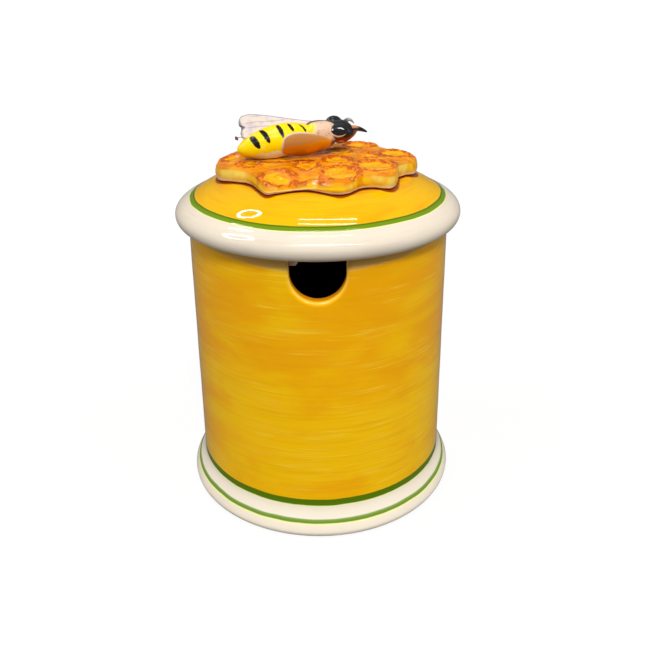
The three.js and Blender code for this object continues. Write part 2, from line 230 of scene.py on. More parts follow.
def lay(tree, colour, values, coats):
    """Lays coats over a colour. A coat is its colour, its strength, and edges for some values.

    Its mask is the strength times one factor for each value: a step for two edges, a band where
    a third number gives its softness, and the value itself where there are none."""
    for over, mask, where in coats:
        for name, edges in where.items():
            shown = values[name]
            if edges:
                shown = (step if len(edges) == 2 else band)(tree, shown, *edges)
            mask = times(tree, shown, mask)
        colour = mix(tree, mask, colour, over)
    return colour


print("masks and coats ready")

# %% [markdown]
# ### A glossy glaze
#
# Fired glaze is glass over colour, so it is a plain shader with a low roughness. Real glaze is
# never quite even: its gloss wanders a little, and faint ripples show where it has flowed. Both
# come from noise, and the ripples are a very low bump.

# %% Glaze
GLAZE_SPECULAR = 0.2
GLOSS_PATCH = 14.0
BUMP_DETAIL = 3.0


def glaze(name, colour_of, gloss=(0.02, 0.05), bump_height=0.008, bump_size=4.0):
    """A fired glaze. colour_of(tree) gives its colour, and gloss its lowest and highest roughness."""
    material = bpy.data.materials.new(name)
    material.use_nodes = True
    tree = material.node_tree
    shader = tree.nodes["Principled BSDF"]
    shader.inputs["Specular IOR Level"].default_value = GLAZE_SPECULAR
    place = place_on(tree)
    patches = {"Value": noise(tree, place, GLOSS_PATCH), "To Min": gloss[0], "To Max": gloss[1]}
    height = noise(tree, place, bump_size, BUMP_DETAIL)
    ripples = {"Height": height, "Distance": bump_height * MM, "Strength": 1.0}
    looks = {
        "Base Color": colour_of(tree),
        "Roughness": node(tree, "ShaderNodeMapRange", patches).outputs["Result"],
        "Normal": node(tree, "ShaderNodeBump", ripples).outputs["Normal"],
    }
    for socket, value in looks.items():
        tree.links.new(value, shader.inputs[socket])
    return material


def dress(piece, material, body, slot, *nodes):
    """Gives a piece its glaze, lets it ride on its body and stands it in for its nodes."""
    piece.data.materials.append(material)
    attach(piece, body)
    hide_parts(*nodes)
    print(piece.name, "wears", material.name, "with", len(material.node_tree.nodes), "nodes")


print("a glaze's specular level is", GLAZE_SPECULAR)

# %% [markdown]
# ## Surface helpers
#
# Every piece here is a closed skin: rings of points that close to a pole at both ends. A turned
# piece has circles for rings, a wing has flat ovals, and a pot with a notch has rings that dip
# under the notch. One function can therefore make them all.

# %% Curves and outlines
FINE_STEPS = 6000
BEND_WEIGHT = 8.0


def curve(start, end, shares, count=80):
    """A smooth curve. Each control point is a share of the way from start to end, per axis.

    Neighbouring control points are mixed as (1 - t) a + t b again and again, until one is left."""
    start, end = np.array(start, float), np.array(end, float)
    points = [start, *[start + (end - start) * np.array(share) for share in shares], end]
    t = np.linspace(0, 1, count)[:, None]
    while len(points) > 1:
        points = [(1 - t) * a + t * b for a, b in zip(points, points[1:])]
    return points[0]


def lengths(line):
    """The distance travelled at each point of a line."""
    return np.r_[0, np.cumsum(np.linalg.norm(np.diff(line, axis=0), axis=1))]


def along(line, places):
    """The points of a line at the given distances from its start."""
    travelled = lengths(line)
    return np.column_stack([np.interp(places, travelled, column) for column in line.T])


def profile(parts, rows, softness):
    """One outline of (radius, height) rows through all the parts.

    It is walked at even steps and averaged over `softness` to each side, which rounds the
    corners. Rows are then spaced evenly in length + BEND_WEIGHT * angle turned, so that they
    crowd where it bends."""
    line = np.vstack([np.atleast_2d(part) for part in parts]).astype(float)
    total = lengths(line)[-1]
    line = along(line, np.linspace(0, total, FINE_STEPS))
    reach = max(1, round(softness / total * FINE_STEPS))
    padded = np.pad(line, ((reach, reach), (0, 0)), mode="reflect", reflect_type="odd")
    kernel = np.full(2 * reach + 1, 1 / (2 * reach + 1))
    line = np.column_stack([np.convolve(column, kernel, "valid") for column in padded.T])
    across, up = np.gradient(line, axis=0).T
    heading = np.unwrap(np.arctan2(up, across))
    cost = lengths(line) + BEND_WEIGHT * np.r_[0, np.cumsum(np.abs(np.diff(heading)))]
    picks = np.linspace(0, cost[-1], rows)
    return np.column_stack([np.interp(picks, cost, column) for column in line.T])


print("a quarter circle's curve is", round(lengths(curve((1, 0), (0, 1), [(0, 1)]))[-1], 3), "long")


# %% Grids and unevenness
def joined(x, y, z):
    """Points from their three coordinates. Each is a number, a row, a column or a grid."""
    return np.stack(np.broadcast_arrays(x, y, z), -1)


def around(radius, angle, height):
    """Points about the Z axis: x = r cos a, y = r sin a."""
    return joined(radius * np.cos(angle), radius * np.sin(angle), height)


def turned(outline, angles):
    """Carries (radius, height) rows round the Z axis."""
    return around(outline[:, 0, None], angles, outline[:, 1, None])


def smooth(low, high, value):
    """0 below low, 1 above high, and 3t^2 - 2t^3 between them. low may be the larger."""
    t = np.clip((value - low) / (high - low), 0, 1)
    return t * t * (3 - 2 * t)


def ripple(points, size, seed, waves=9):
    """A gentle unevenness from -1 to 1: the mean of sine waves in random directions."""
    chance = np.random.default_rng(seed)
    total = 0
    for turn in chance.normal(size=(waves, 3)):
        total = total + np.sin(points @ turn * 2 * np.pi / size + chance.uniform(0, 2 * np.pi))
    return total / waves


print("half way up a smooth step is", smooth(0, 1, 0.5))

# %% [markdown]
# ### From rings to a mesh
#
# Blender needs points and faces. The rings lie in memory row by row, so the four corners of every
# face follow from its row and column, and numpy can list all faces at once. Numbers that a glaze
# paints by are stored on the points here, because they are known while the shape is made.

# %% From rings to a mesh
def store(piece, key, values):
    """Stores one number for each point of a piece, for its shader to read."""
    made = piece.data.attributes.new(key, "FLOAT", "POINT")
    made.data.foreach_set("value", np.asarray(values, np.float32))


def surface(name, rings, start, end, **values):
    """A closed skin through rings of points, with a pole at each end.

    rings is rows x columns x 3 in mm. Quads join each ring to the next, and fans close the
    poles. If the signed volume is negative, the faces are turned round. Each value is stored on
    the points for the shader to read."""
    rows, columns = rings.shape[:2]
    points = np.vstack([[start], rings.reshape(-1, 3), [end]]) * MM
    here = 1 + np.arange(rows * columns).reshape(rows, columns)
    beside = np.roll(here, -1, axis=1)
    quads = np.stack([here[:-1], beside[:-1], beside[1:], here[1:]], -1).reshape(-1, 4)
    pole = np.zeros(columns, int)
    fans = np.vstack([
        np.column_stack([pole, beside[0], here[0]]),
        np.column_stack([pole + len(points) - 1, here[-1], beside[-1]]),
    ])
    a, b, c = points[np.vstack([fans, quads[:, :3], quads[:, [0, 2, 3]]])].transpose(1, 0, 2)
    if np.einsum("ij,ij->", a, np.cross(b, c)) < 0:
        quads, fans = quads[:, ::-1], fans[:, ::-1]
    mesh = bpy.data.meshes.new(name)
    mesh.from_pydata(points.tolist(), [], fans.tolist() + quads.tolist())
    mesh.shade_smooth()
    piece = bpy.data.objects.new(name, mesh)
    bpy.context.scene.collection.objects.link(piece)
    for key, value in values.items():
        value = np.broadcast_to(value, (rows, columns))
        store(piece, key, np.r_[value[0].mean(), value.ravel(), value[-1].mean()])
    print(f"{name}: {len(points)} points, {len(quads) * 2 + len(fans)} triangles")
    return piece


def lump(name, points, **values):
    """A closed skin through a whole grid. The first points of its end rows are the poles."""
    inner = {key: np.broadcast_to(value, points.shape[:2])[1:-1] for key, value in values.items()}
    return surface(name, points[1:-1], points[0, 0], points[-1, 0], **inner)


print("ring and mesh helpers ready")

# %% [markdown]
# ## The pot
#
# The pot is turned, so most of it is a profile carried round the axis. The spoon notch breaks
# that: it is a U cut straight through the front wall, with edges rounded by the glaze. Rather
# than cut the mesh, each ring of the wall bends gradually from a level circle above the foot to
# the outline of the rim and notch. The wall then turns over the edge on a rounded lip and goes
# down inside, and no seam shows.

# %% Sizes of the pot
POT_HEIGHT = pot_high[2]
FOOT_RADIUS = pot_high[0]
FOOT_HEIGHT = 13.0
FOOT_EDGE_ROUND = 2.4
FOOT_RING_WIDTH = 7.0
FOOT_RECESS = 2.0
FOOT_SWEEP_SHARES = [(0.23, 0.36), (0.94, 0.6)]
WALL_BASE_RADIUS = 51.6
WALL_TOP_RADIUS = 50.0
WALL = 5.5
INSIDE_FLOOR_Z = FOOT_RECESS + 6.0
INSIDE_CORNER = 6.0
LIP_ROUND = 1.8
NOTCH_HALF_WIDTH = 9.7
NOTCH_DEPTH = 16.4
NOTCH_CORNER = 2.5
POT_COLUMNS = 580
WALL_SLOPE = (WALL_BASE_RADIUS - WALL_TOP_RADIUS) / (POT_HEIGHT - LIP_ROUND - FOOT_HEIGHT)
FRONT = -np.pi / 2


def wall_radius(height):
    """The outside radius of the wall, which narrows evenly from the foot to the rim."""
    return WALL_BASE_RADIUS - WALL_SLOPE * (height - FOOT_HEIGHT)


# Angles from the notch, the same for every ring away from it. They start at the back.
even_angles = (0.5 - (np.arange(POT_COLUMNS) + 0.5) / POT_COLUMNS) * 2 * np.pi
print("wall's outside radius half way up:", round(wall_radius(POT_HEIGHT / 2), 2), "mm")

# %% [markdown]
# ### The rim and its notch
#
# The rim and the notch are one line. It is laid out flat, as if the wall were unrolled, because
# there it is only straight lines and arcs. Walking it at even steps gives faces of one width on
# the rim, round the corners and along the bottom of the U.

# %% Rim and notch outline
BOWL_STEPS = 80


def rim_outline(columns):
    """The rim unrolled: (distance round from the notch, height), and the direction into the clay.

    It runs level, turns down a small arc, goes down the side, round a half circle and up again,
    at even steps. The distance is 0 in the middle of the notch."""
    half_round = np.pi * WALL_TOP_RADIUS
    side, low = NOTCH_HALF_WIDTH, POT_HEIGHT - NOTCH_DEPTH + NOTCH_HALF_WIDTH
    corner = curve((side + NOTCH_CORNER, POT_HEIGHT), (side, POT_HEIGHT - NOTCH_CORNER), [(1, 0)])
    turn = np.linspace(0, np.pi / 2, BOWL_STEPS)
    bowl = np.column_stack([side * np.cos(turn), low - side * np.sin(turn)])
    right = np.vstack([[half_round, POT_HEIGHT], corner, bowl])
    line = np.vstack([right, (right * (-1, 1))[-2::-1]])
    line = along(line, (np.arange(columns) + 0.5) / columns * lengths(line)[-1])
    ahead = np.roll(line, -1, axis=0) - np.roll(line, 1, axis=0)
    ahead[[0, -1]] = (-1, 0)
    inward = np.column_stack([-ahead[:, 1], ahead[:, 0]])
    inward /= np.linalg.norm(inward, axis=1)[:, None]
    return line, inward


outline, into_clay = rim_outline(POT_COLUMNS)
print("rim outline", outline.min(axis=0).round(2), "to", outline.max(axis=0).round(2))

# %% [markdown]
# ### Wall, edge, foot and floor
#
# The skin of the pot is one run of rings: out under the foot, up the wall, over the edge, down
# the inside and in to the middle of the floor. The notch is cut straight from front to back, so
# near it the inner ring lies behind the outer one, not towards the axis.

# %% Rings of the wall
EDGE_STEPS = 9
FLAT_STEPS = 5
STRAIGHT_CUT = (12.0, 25.0)


def on_wall(round_distance, height, depth):
    """A point `depth` inside the outer wall.

    Near the notch a point moves straight back, because the cut is straight, and further round it
    moves towards the axis. The two angles are mixed by the distance from the notch."""
    outer = wall_radius(height)
    radius = outer - depth
    angle = round_distance / WALL_TOP_RADIUS
    straight = np.arcsin(np.clip(outer * np.sin(angle) / radius, -1, 1))
    near = 1 - smooth(*STRAIGHT_CUT, np.abs(round_distance))
    angle = angle + (np.where(np.abs(angle) < 1, straight, angle) - angle) * near
    return around(radius, angle + FRONT, height)


def edge_rings():
    """The rounded edge: a quarter circle out of the wall, a flat, and a quarter circle back."""
    turn = np.linspace(0, np.pi / 2, EDGE_STEPS)
    inset = LIP_ROUND * (1 - np.sin(turn))
    depth = LIP_ROUND * (1 - np.cos(turn))
    flat = np.linspace(LIP_ROUND, WALL - LIP_ROUND, FLAT_STEPS)[1:-1]
    inset = np.r_[inset, 0 * flat, inset[::-1]]
    depth = np.r_[depth, flat, WALL - depth[::-1]]
    place = outline + into_clay * inset[:, None, None]
    return on_wall(place[..., 0], place[..., 1], depth[:, None]), depth


def wall_rings(rows, depth, low):
    """Rings of a wall face, from an even circle at height low to the rounded edge."""
    t = np.linspace(0, 1, rows)[:, None]
    top = outline + into_clay * LIP_ROUND
    even = even_angles * WALL_TOP_RADIUS
    distance = even + (top[:, 0] - even) * smooth(0, 1, t)
    return on_wall(distance, low + (top[:, 1] - low) * t, depth)


edge, edge_depth = edge_rings()
print("the edge has", len(edge), "rings")

# %% Profiles of the foot and floor
FOOT_ROWS = 50
FLOOR_ROWS = 24
CLAY_SOFTNESS = 0.3


def foot_profile():
    """From the middle of the hollow under the foot, out over its edge and up its sweep."""
    ring_edge = FOOT_RADIUS - FOOT_EDGE_ROUND
    recess = ring_edge - FOOT_RING_WIDTH
    side = (FOOT_RADIUS, FOOT_EDGE_ROUND)
    parts = [
        (0, FOOT_RECESS), (recess, FOOT_RECESS), (recess + FOOT_RECESS / 2, 0), (ring_edge, 0),
        curve((ring_edge, 0), side, [(1, 0)]),
        curve(side, (WALL_BASE_RADIUS, FOOT_HEIGHT), FOOT_SWEEP_SHARES),
    ]
    return profile(parts, FOOT_ROWS, CLAY_SOFTNESS)


def floor_profile():
    """The rounded inside corner and the floor, to the middle."""
    wall = WALL_BASE_RADIUS - WALL
    corner = curve((wall, INSIDE_FLOOR_Z + INSIDE_CORNER), (wall - INSIDE_CORNER, INSIDE_FLOOR_Z),
                   [(0, 1)])
    return profile([corner, (0, INSIDE_FLOOR_Z)], FLOOR_ROWS, CLAY_SOFTNESS)


foot, floor_rings = (turned(rows[1:-1], even_angles + FRONT)
                     for rows in (foot_profile(), floor_profile()))
print("foot", len(foot), "rings, floor", len(floor_rings), "rings")

# %% The pot's mesh
WALL_ROWS = 46
INSIDE_ROWS = 30
# The wall's faint throwing ripples: height, squash per axis, size, seed, and where they start.
RIPPLE_HEIGHT = 0.07
RIPPLE_SQUASH = (0.4, 0.4, 1)
RIPPLE_SIZE = 24
RIPPLE_SEED = 5
RIPPLE_START = 0.2

outside = wall_rings(WALL_ROWS, 0.0, FOOT_HEIGHT)
inside = wall_rings(INSIDE_ROWS, WALL, INSIDE_FLOOR_Z + INSIDE_CORNER)[::-1]
swell = ripple(outside * RIPPLE_SQUASH, RIPPLE_SIZE, RIPPLE_SEED) * RIPPLE_HEIGHT / WALL_TOP_RADIUS
swell = swell * smooth(0, RIPPLE_START, np.linspace(0, 1, WALL_ROWS))[:, None]
outside = outside * (1 + swell[..., None] * (1, 1, 0))
rings = np.concatenate([foot, outside, edge[1:-1], inside, floor_rings])
# The zone is 0 outside, 1 inside, and between them over the edge.
zone = np.concatenate([
    np.zeros(len(foot) + len(outside)), edge_depth[1:-1] / WALL,
    np.ones(len(inside) + len(floor_rings)),
])
pot = surface("honey_pot", rings, (0, 0, FOOT_RECESS), (0, 0, INSIDE_FLOOR_Z), zone=zone[:, None])

# %% [markdown]
# ### The pot's glaze
#
# The wall was painted with a wide brush while the pot turned, so its streaks run round it. That
# is noise squeezed in height. The green lines were drawn on the same wheel: they are bands of
# height whose edges wander a little. The inside is a dark glaze, and the foot's rim that stands
# in the kiln is bare clay. In front under the lid the glaze is thin and carries painted shade
# from the lid's rim, with a pale line painted as the rim's reflection. The notch's lip has a
# painted highlight.

# %% Paints of the pot
HONEY = paint(248, 182, 0)
HONEY_DEEP = paint(246, 171, 0)
HONEY_GOLD = paint(250, 194, 0)
HONEY_SCRATCH = paint(253, 208, 60)
HONEY_DRAG = paint(236, 166, 0)
CREAM = paint(239, 228, 208)
CREAM_SHADE = paint(233, 220, 200)
GREEN = paint(84, 116, 0)
GREEN_PALE = paint(128, 164, 84)
GREEN_DEEP = paint(108, 136, 40)
GREEN_FRINGE = paint(236, 238, 150)
INSIDE_BROWN = paint(64, 40, 20)
LIP_BROWN = paint(222, 140, 16)
LIP_HIGHLIGHT = paint(255, 216, 96)
THIN_GLAZE_SHADE = paint(204, 164, 92)
THIN_EDGE_REFLECTION = paint(232, 206, 140)
BARE_CLAY = paint(222, 208, 190)
UPPER_GREEN = (12.1, 14.9)
LOWER_GREEN = (5.8, 7.2)
# Stretch per axis, size in mm, detail, roughness and distortion.
HONEY_NOISES = {
    "patches": ((0.45, 0.45, 1.0), 13.0, 3.0, 0.5, 0.5),
    "drags": ((0.035, 0.035, 1.0), 1.5, 4.0, 0.6),
    "scratches": ((0.022, 0.022, 1.0), 0.42),
    "breaks": ((0.2, 0.2, 1.0), 6.0),
}
WALL_COATS = [
    (HONEY, 1.0, {"patches": (0.42, 0.66)}),
    (HONEY_DEEP, 1.0, {"patches": (0.56, 0.76)}),
    (HONEY_DRAG, 0.5, {"drags": (0.46, 0.72)}),
    (HONEY_SCRATCH, 0.7, {"scratches": (0.54, 0.68), "breaks": (0.4, 0.58)}),
]
EDGE_COATS = [
    # Thin glaze under the lid that carries painted shade, with a pale line painted as the rim's
    # reflection.
    (THIN_GLAZE_SHADE, 0.8, {"thin": (0.0, 1.6)}),
    (THIN_EDGE_REFLECTION, 0.4, {"thin": (0.3, 0.6, 0.4)}),
    # A painted highlight on the round of the notch's lip.
    (LIP_HIGHLIGHT, 0.6, {"zone": (0.06, 0.16, 0.08)}),
    (LIP_BROWN, 1.0, {"zone": (0.2, 0.36)}),
    (INSIDE_BROWN, 1.0, {"zone": (0.8, 0.97)}),
    (BARE_CLAY, 1.0, {"height": (0.25, 0.0)}),
]
print("the pot has", len(WALL_COATS) + len(EDGE_COATS), "coats besides its lines")

# %% Thin glaze and painted shade under the lid
THIN_DEPTH = 6.8
THIN_NARROWING = 0.09
THIN_WANDER = 2.0
# The thin glaze and its painted shade end where y passes these, at each side of the pot.
THIN_ENDS = (-32.0, -18.0)


def shaded_thin_band(tree, wobble):
    """How far a point lies in the front band of thin glaze and painted shade under the lid, in mm.

    The brush stopped short of the rim here. The band is widest beside the notch."""
    x, y, z = axes(tree, place_on(tree))
    beside = times(tree, sums(tree, "ABSOLUTE", x), THIN_NARROWING)
    inside = minus(tree, minus(tree, z, beside), POT_HEIGHT - THIN_DEPTH)
    inside = plus(tree, inside, times(tree, wobble, THIN_WANDER))
    return minus(tree, inside, times(tree, step(tree, y, *THIN_ENDS), THIN_DEPTH))


print("thin glaze starts", THIN_DEPTH, "mm under the rim")

# %% Honey glaze
# Heights between which the patches grow deeper, and by how much.
DEEPER_HEIGHTS = (45.0, 75.0)
DEEPER_SHARE = 0.14
CREAM_TOP = (12.4, 12.0)
CREAM_PATCH = 16.0
PALE_HEIGHTS = (6.2, 7.2)
HAND_SIZE = 11.0
HAND_WANDER = 0.6
LINE_SOFT = 0.4


def green_line(low, high, green):
    """Coats for a green line: a pale fringe along its lower edge, then the line itself."""
    return [(GREEN_FRINGE, 0.8, {"height": (low - 0.55, low + 0.2, 0.5)}),
            (green, 1.0, {"height": (low, high, LINE_SOFT)})]


def honey_colour(tree):
    """Brushed honey yellow above, two green lines on a cream foot, dark brown inside."""
    place = place_on(tree)
    values = noises(tree, HONEY_NOISES) | stored(tree, "zone")
    level = axes(tree, place)["Z"]
    deeper = times(tree, step(tree, level, *DEEPER_HEIGHTS), DEEPER_SHARE)
    values["patches"] = plus(tree, values["patches"], deeper)
    wobble = wander(tree, place, HAND_SIZE, HAND_WANDER)
    values["height"] = plus(tree, level, wobble)
    values["thin"] = shaded_thin_band(tree, wobble)
    cream = mix(tree, noise(tree, place, CREAM_PATCH), CREAM, CREAM_SHADE)
    pale = mix(tree, step(tree, values["height"], *PALE_HEIGHTS), GREEN_DEEP, GREEN_PALE)
    foot_coats = [(cream, 1.0, {"height": CREAM_TOP}),
                  *green_line(*UPPER_GREEN, GREEN), *green_line(*LOWER_GREEN, pale)]
    return lay(tree, HONEY_GOLD, values, WALL_COATS + foot_coats + EDGE_COATS)


dress(pot, glaze("honey_glaze", honey_colour), "pot", "honey_glaze", "pot_body")

# %% [markdown]
# ## The lid
#
# The lid is turned too. One closed profile runs from the middle of its crown over the dome, the
# rolled rim and the seat, and back under the dome.

# %% The lid's mesh
RIM_FOOT_Z = lid_low[2]
CROWN_Z = lid_high[2]
RIM_RADIUS = lid_high[0]
RIM_HEIGHT = 9.2
RIM_WIDEST = 3.6
CROWN_RADIUS = 34.0
SHOULDER = (48.9, RIM_FOOT_Z + RIM_HEIGHT)
SHELL = 5.0
SEAT_Z = POT_HEIGHT + 0.3
LIP_RADIUS = WALL_TOP_RADIUS + 0.5
RIM_FOOT = 1.4
RING_OUTER = ring_high[0]
RING_THICKNESS = 3.5
DOME_SHARES = [(0.54, 0.7)]
ROLL_SHARES = [(0, 0.46), (0.54, 0.84)]
UNDERSIDE_SHARES = [(0.61, 0.06), (1, 0.5)]
DOME_INSIDE_SHARES = [(1, 0.23)]
LID_COLUMNS = 480
LID_ROWS = 170
LID_SOFTNESS = 0.45


def lid_profile():
    """Crown, dome, rolled rim, its underside, the lip over the pot, and the hollow inside."""
    widest = (RIM_RADIUS, RIM_FOOT_Z + RIM_WIDEST)
    foot = (LIP_RADIUS + RIM_FOOT, RIM_FOOT_Z)
    ring_inner = (RING_OUTER - RING_THICKNESS, SEAT_Z)
    under_crown = (CROWN_RADIUS - SHELL, CROWN_Z - SHELL)
    parts = [
        (0, CROWN_Z), curve(SHOULDER, (CROWN_RADIUS, CROWN_Z), DOME_SHARES)[::-1],
        curve(widest, SHOULDER, ROLL_SHARES)[::-1], curve(foot, widest, UNDERSIDE_SHARES)[::-1],
        (LIP_RADIUS, RIM_FOOT_Z), (LIP_RADIUS, SEAT_Z), ring_inner,
        curve(under_crown, ring_inner, DOME_INSIDE_SHARES)[::-1], (0, CROWN_Z - SHELL),
    ]
    return profile(parts, LID_ROWS, LID_SOFTNESS)


lid_rows = lid_profile()
shoulder_row = np.argmin(np.linalg.norm(lid_rows - SHOULDER, axis=1))
from_shoulder = (lengths(lid_rows) - lengths(lid_rows)[shoulder_row])[1:-1, None]
lid_rings = turned(lid_rows[1:-1], np.arange(LID_COLUMNS) / LID_COLUMNS * 2 * np.pi)
lid = surface("lid", lid_rings, (0, 0, CROWN_Z), (0, 0, CROWN_Z - SHELL), from_shoulder=from_shoulder)

# %% [markdown]
# ### The locating ring
#
# Under the lid a strip of clay was bent into a ring and luted on, and stops at each side of the
# notch so that a spoon can pass. A rounded section is carried along the arc, and it shrinks to
# nothing over the last millimetre and a half, which rounds the ends.

# %% The locating ring's mesh
RING_TOP_Z = ring_high[2]
RING_BOTTOM_Z = ring_low[2]
RING_GAP_WIDTH = 20.0
RING_GAP_DEGREES = 5.0
RING_SECTION_COLUMNS = 48
RING_ROWS = 420
RING_CORNER = 1.0
RING_CORNER_STEPS = 12
RING_END_ROUND = 1.5


def rounded_box(width, height, corner, count):
    """A rectangle with round corners, as `count` even steps about its middle."""
    across, up = width / 2, height / 2
    quarter = curve((across, up - corner), (across - corner, up), [(0, 1)], RING_CORNER_STEPS)
    half = np.vstack([quarter, (quarter * (-1, 1))[::-1]])
    loop = np.vstack([half, -half, half[:1]])
    return along(loop, np.arange(count) / count * lengths(loop)[-1])


def locating_ring():
    """The section carried round the axis from one side of the gap to the other.

    Near each end the section shrinks as sqrt(1 - (1 - t)^2), a quarter circle, so the ends are
    rounded."""
    middle = RING_OUTER - RING_THICKNESS / 2
    section = rounded_box(RING_THICKNESS, RING_TOP_Z - RING_BOTTOM_Z, RING_CORNER,
                          RING_SECTION_COLUMNS)
    half_gap = np.arcsin(RING_GAP_WIDTH / 2 / middle)
    start = np.radians(RING_GAP_DEGREES) + FRONT + half_gap
    run = middle * (2 * np.pi - 2 * half_gap)
    s = (1 - np.cos(np.linspace(0, np.pi, RING_ROWS)))[:, None] / 2 * run
    t = np.clip(np.minimum(s, run - s) / RING_END_ROUND, 0, 1)
    size = np.sqrt(1 - (1 - t) ** 2)
    height = (RING_TOP_Z + RING_BOTTOM_Z) / 2 + section[:, 1] * size
    return lump("locating_ring", around(middle + section[:, 0] * size, start + s / middle, height))


ring = locating_ring()

# %% [markdown]
# ### The lid's glazes
#
# The dome was brushed on the wheel, so its streaks run round it too. Here noise is read at a
# point's direction and radius, which bends the streaks into circles. A green line hides the join
# to the cream rim, and a brown shadow is painted on the dome along the foot of the comb.

# %% Paints of the lid
SUN = paint(238, 180, 0)
SUN_DEEP = paint(234, 164, 0)
SUN_DRAG = paint(222, 152, 0)
RIM_WHITE = paint(232, 220, 201)
RIM_SHADE = paint(225, 211, 191)
RIM_DRAG = paint(214, 198, 178)
LID_GREEN = paint(110, 142, 12)
LID_GREEN_DARK = paint(74, 110, 10)
COMB_SHADOW_BROWN = paint(146, 62, 4)
LID_GREEN_WIDTH = 2.2
DARK_EDGE = (0.9 - LID_GREEN_WIDTH, 0.3 - LID_GREEN_WIDTH)
DOME_COATS = [
    (SUN_DEEP, 1.0, {"patches": (0.5, 0.75)}),
    (SUN_DRAG, 0.45, {"drags": (0.5, 0.74)}),
    # A brown shadow painted on the dome along the foot of the comb.
    (COMB_SHADOW_BROWN, 1.0, {"comb_shadow": (0.9, 0.0)}),
]
RIM_COATS = [(RIM_DRAG, 0.35, {"drags": (0.5, 0.7)})]
# How far the noise is spread round the lid, then its size, detail and roughness.
LID_NOISES = {"drags": (2.2, 0.8, 3.0, 0.55), "patches": (9.0, 6.0)}
# Size and reach of the wander of the painted shadow's edge and the line's edge.
COMB_SHADOW_WANDER = (12.0, 2.4)
LINE_WANDER = (13.0, 0.6)
RIM_PATCH = 18.0
RING_PATCH = 12.0
print("the green line on the lid is", LID_GREEN_WIDTH, "mm wide")


# %% Sun glaze and cream glaze
def length_of(tree, vector):
    """The length of a vector."""
    return node(tree, "ShaderNodeVectorMath", {0: vector}, operation="LENGTH").outputs["Value"]


def round_brush(tree, spread):
    """Coordinates that turn with the lid: (spread * direction from the axis, radius)."""
    x, y, _ = axes(tree, place_on(tree))
    flat = node(tree, "ShaderNodeCombineXYZ", {0: x, 1: y}).outputs[0]
    away = node(tree, "ShaderNodeVectorMath", {0: flat}, operation="NORMALIZE").outputs[0]
    x, y, _ = axes(tree, away)
    inputs = {0: times(tree, x, spread), 1: times(tree, y, spread), 2: length_of(tree, flat)}
    return node(tree, "ShaderNodeCombineXYZ", inputs).outputs[0]


def sun_colour(tree):
    """Brushed sun yellow on the dome, a green line at the shoulder and a cream rim."""
    place = place_on(tree)
    values = stored(tree, "from_comb", "from_shoulder")
    for name, (spread, *settings) in LID_NOISES.items():
        values[name] = noise(tree, round_brush(tree, spread), *settings)
    values["comb_shadow"] = plus(tree, values["from_comb"], wander(tree, place, *COMB_SHADOW_WANDER))
    values["out"] = plus(tree, values["from_shoulder"], wander(tree, place, *LINE_WANDER))
    rim = mix(tree, noise(tree, place, RIM_PATCH), RIM_WHITE, RIM_SHADE)
    rim = lay(tree, rim, values, RIM_COATS)
    green = mix(tree, step(tree, values["out"], *DARK_EDGE), LID_GREEN, LID_GREEN_DARK)
    return lay(tree, SUN, values, DOME_COATS + [
        (rim, 1.0, {"out": (-0.15, 0.15)}),
        (GREEN_FRINGE, 0.7, {"out": (-0.2, 0.5, 0.4)}),
        (green, 1.0, {"out": (-LID_GREEN_WIDTH, 0.0, LINE_SOFT)}),
    ])


def cream_colour(tree):
    """Plain cream glaze, a little warmer where it lies thicker."""
    return mix(tree, noise(tree, place_on(tree), RING_PATCH), RIM_WHITE, RIM_SHADE)


sun_glaze = glaze("sun_glaze", sun_colour, gloss=(0.02, 0.04), bump_height=0.003, bump_size=8.0)
dress(lid, sun_glaze, "lid", "sun_glaze", "lid_shell")
dress(ring, glaze("cream_glaze", cream_colour), "lid", "cream_glaze", "lid_locating_ring")

# %% [markdown]
# ## The honeycomb slab
#
# The slab was pressed in a mould: a wavy-edged pad of clay whose top has round cells with rough
# raised rims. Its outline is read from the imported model. Scaled copies of the outline fill the
# top, and a height worked out from the distance to each cell's middle gives the rims and floors.

# %% Sizes of the comb
COMB_THICKNESS = 5.4
COMB_TOP_Z = comb_low[2] + COMB_THICKNESS
COMB_REACH = 38.9
COMB_EDGE_ROUND = 0.8
COMB_COLUMNS = 600
CELL_RIM_HEIGHT = comb_high[2] - COMB_TOP_Z
CELL_DEPTH = 0.9
CELL_CROWN = 0.4
SIX_SIDED_SHARE = 0.035
# Each cell's middle in shares of the comb's reach, its radius and its rim's width in mm.
CELLS = [
    (-0.81, 0.03, 5.4, 1.2), (-0.36, -0.622, 6.3, 2.0), (-0.103, -0.315, 4.7, 1.2),
    (0.215, -0.548, 7.0, 1.5), (0.19, -0.12, 5.6, 1.3), (0.548, -0.335, 7.4, 1.5),
    (0.516, 0.055, 4.2, 1.1), (0.778, 0.157, 6.3, 1.4), (0.43, 0.555, 6.2, 1.2),
    (-0.56, 0.4, 6.0, 1.2), (-0.12, 0.56, 6.4, 1.2), (-0.63, -0.22, 4.4, 1.5),
    (-0.05, -0.72, 3.6, 1.2), (0.22, 0.26, 5.0, 1.2), (-0.25, 0.2, 5.0, 1.2),
]
print("the comb has", len(CELLS), "cells")

# %% [markdown]
# ### The comb's outline
#
# The imported model already has the right outline, so it isn't drawn again. Its corners at one
# level of the upright side are sorted by angle and joined by a smooth loop. The same loop says
# how far each point of the dome lies from the slab, where the lid's glaze paints a shadow.

# %% The comb's outline
OUTLINE_TOLERANCE = 0.05
LOOP_STEPS = 24


def smooth_loop(points, count):
    """A closed smooth curve through the points, walked at even steps.

    Between b and c it is (2b + (c-a)t + (2a-5b+4c-d)t^2 + (3b-a-3c+d)t^3) / 2."""
    a, b, c, d = (np.roll(points, shift, axis=0)[:, None] for shift in (1, 0, -1, -2))
    t = np.linspace(0, 1, LOOP_STEPS, endpoint=False)[None, :, None]
    bend, twist = 2 * a - 5 * b + 4 * c - d, 3 * b - a - 3 * c + d
    line = (b + ((c - a) * t + bend * t**2 + twist * t**3) / 2).reshape(-1, 2)
    line = np.vstack([line, line[:1]])
    return along(line, np.arange(count) / count * lengths(line)[-1])


